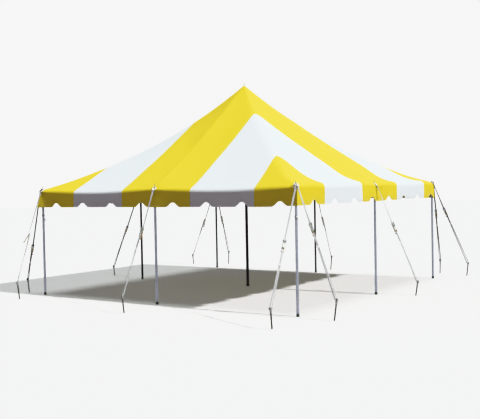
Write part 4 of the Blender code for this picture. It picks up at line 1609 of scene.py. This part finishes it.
class MARQUEE_OT_stage(bpy.types.Operator):
    """Sets the pale floor and backdrop, the soft light, and the camera at the photograph's angle"""

    bl_idname = "marquee.stage"
    bl_label = "Stage"

    def execute(self, context):
        settings = context.scene.marquee_stage
        self.surroundings(settings)
        self.light(settings)
        self.camera()
        return {"FINISHED"}

    def surroundings(self, settings):
        """A wide floor just under the part and a glowing sphere round it, kept out of the tent's light."""
        bm = bmesh.new()
        bmesh.ops.create_circle(bm, cap_ends=True, segments=96, radius=90)
        ground = Paint("pale_floor").finish(
            base_color=(0.86, 0.86, 0.86), roughness=0.9, specular_ior_level=0.0,
            emission_color=(0.80, 1.0, 0.93), emission_strength=0.10,
        )
        floor = bmesh_object("floor", bm, [ground])
        floor.data.transform(lifted(-0.0005))
        bm = bmesh.new()
        bmesh.ops.create_uvsphere(bm, u_segments=64, v_segments=32, radius=95)
        bmesh.ops.reverse_faces(bm, faces=bm.faces[:])
        mesh = bpy.data.meshes.new("backdrop")
        bm.to_mesh(mesh)
        bm.free()
        glow = Paint("pale_backdrop").finish(
            base_color=(0, 0, 0), emission_color=(1.0, 1.0, 1.0), emission_strength=settings.backdrop,
            roughness=1.0, specular_ior_level=0.0,
        )
        glow.cycles.emission_sampling = "NONE"
        mesh.materials.append(glow)
        backdrop = show("backdrop", mesh)
        for stage in (floor, backdrop):
            stage.visible_diffuse = False
        floor.visible_glossy = False
        backdrop.visible_shadow = False
        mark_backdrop(floor, backdrop)

    def light(self, settings):
        """Lamps as colour, strength, and size, azimuth and elevation in degrees, and an even sky."""
        azimuth, elevation = math.degrees(settings.azimuth), math.degrees(settings.elevation)
        self.lamp("key", (1.0, 0.985, 0.99), settings.key, 2.5, azimuth, elevation)
        self.lamp("overhead", (0.95, 1.0, 1.0), settings.overhead, 25, 0, 89)
        self.lamp("fill", (1.0, 0.88, 0.92), settings.fill, 50, -115, 20)
        world = bpy.data.worlds.new("soft_light")
        bpy.context.scene.world = world
        world.use_nodes = True
        sky = world.node_tree.nodes["Background"]
        sky.inputs["Color"].default_value = (1.04, 0.86, 0.90, 1)
        sky.inputs["Strength"].default_value = settings.ambient
        bpy.context.scene.view_settings.view_transform = "Khronos PBR Neutral"

    def lamp(self, name, colour, strength, *angles):
        size, azimuth, elevation = (math.radians(angle) for angle in angles)
        sun = bpy.data.lights.new(name, "SUN")
        sun.energy, sun.color, sun.angle = strength, colour, size
        source = spot(math.cos(elevation), azimuth, math.sin(elevation))
        add_object(name, sun).matrix_world = source.to_track_quat("Z", "Y").to_matrix().to_4x4()

    def camera(self):
        """Fitted to the photograph: place, yaw, pitch, roll, and focal length in pixels of a 480 frame."""
        place, angles, focal, frame_width = (9.695, -14.36, 2.145), (34.483, -1.594, -1.08), 802.1, 480
        yaw, pitch, roll = (math.radians(angle) for angle in angles)
        ahead = Vector((-math.sin(yaw) * math.cos(pitch), math.cos(yaw) * math.cos(pitch), math.sin(pitch)))
        right = Vector((math.cos(yaw), math.sin(yaw), 0))
        above = right.cross(ahead)
        level = right * math.cos(roll) + above * math.sin(roll)
        upright = above * math.cos(roll) - right * math.sin(roll)
        lens = bpy.data.cameras.new("camera")
        lens.sensor_fit, lens.sensor_width = "HORIZONTAL", 36
        lens.lens = focal / frame_width * lens.sensor_width
        lens.clip_end = 400
        camera = add_object("camera", lens)
        turn = Matrix((level, upright, -ahead)).transposed().to_4x4()
        camera.matrix_world = Matrix.Translation(place) @ turn
        bpy.context.scene.camera = camera


class MARQUEE_PT_dressing(bpy.types.Panel):
    """Lists the marquee's settings and pieces"""

    bl_idname = "MARQUEE_PT_dressing"
    bl_label = "Marquee"
    bl_space_type = "VIEW_3D"
    bl_region_type = "UI"
    bl_category = "Marquee"

    def draw(self, context):
        for name, group in SETTINGS.items():
            box = self.layout.box()
            settings = getattr(context.scene, name)
            for field in group.__annotations__:
                box.prop(settings, field)
        for operator in OPERATORS:
            self.layout.operator(operator.bl_idname)


SETTINGS = {
    "marquee_canopy": CanopySettings,
    "marquee_trim": TrimSettings,
    "marquee_poles": PoleSettings,
    "marquee_guys": GuySettings,
    "marquee_stakes": StakeSettings,
    "marquee_stage": StageSettings,
}
OPERATORS = (
    MARQUEE_OT_stage,
    MARQUEE_OT_canopy,
    MARQUEE_OT_trim,
    MARQUEE_OT_poles,
    MARQUEE_OT_ties,
    MARQUEE_OT_guys,
    MARQUEE_OT_stakes,
)


def register():
    for group in (*SETTINGS.values(), *OPERATORS, MARQUEE_PT_dressing):
        bpy.utils.register_class(group)
    for name, group in SETTINGS.items():
        setattr(bpy.types.Scene, name, PointerProperty(type=group))


def unregister():
    for name in SETTINGS:
        delattr(bpy.types.Scene, name)
    for group in reversed((*SETTINGS.values(), *OPERATORS, MARQUEE_PT_dressing)):
        bpy.utils.unregister_class(group)


def main():
    register()
    for operator in OPERATORS:
        family, name = operator.bl_idname.split(".")
        getattr(getattr(bpy.ops, family), name)()
    boxes = {"cad": CAD_BOX, "visual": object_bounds()}
    plain = {key: [[float(part) for part in corner] for corner in box] for key, box in boxes.items()}


if __name__ == "__main__":
    main()
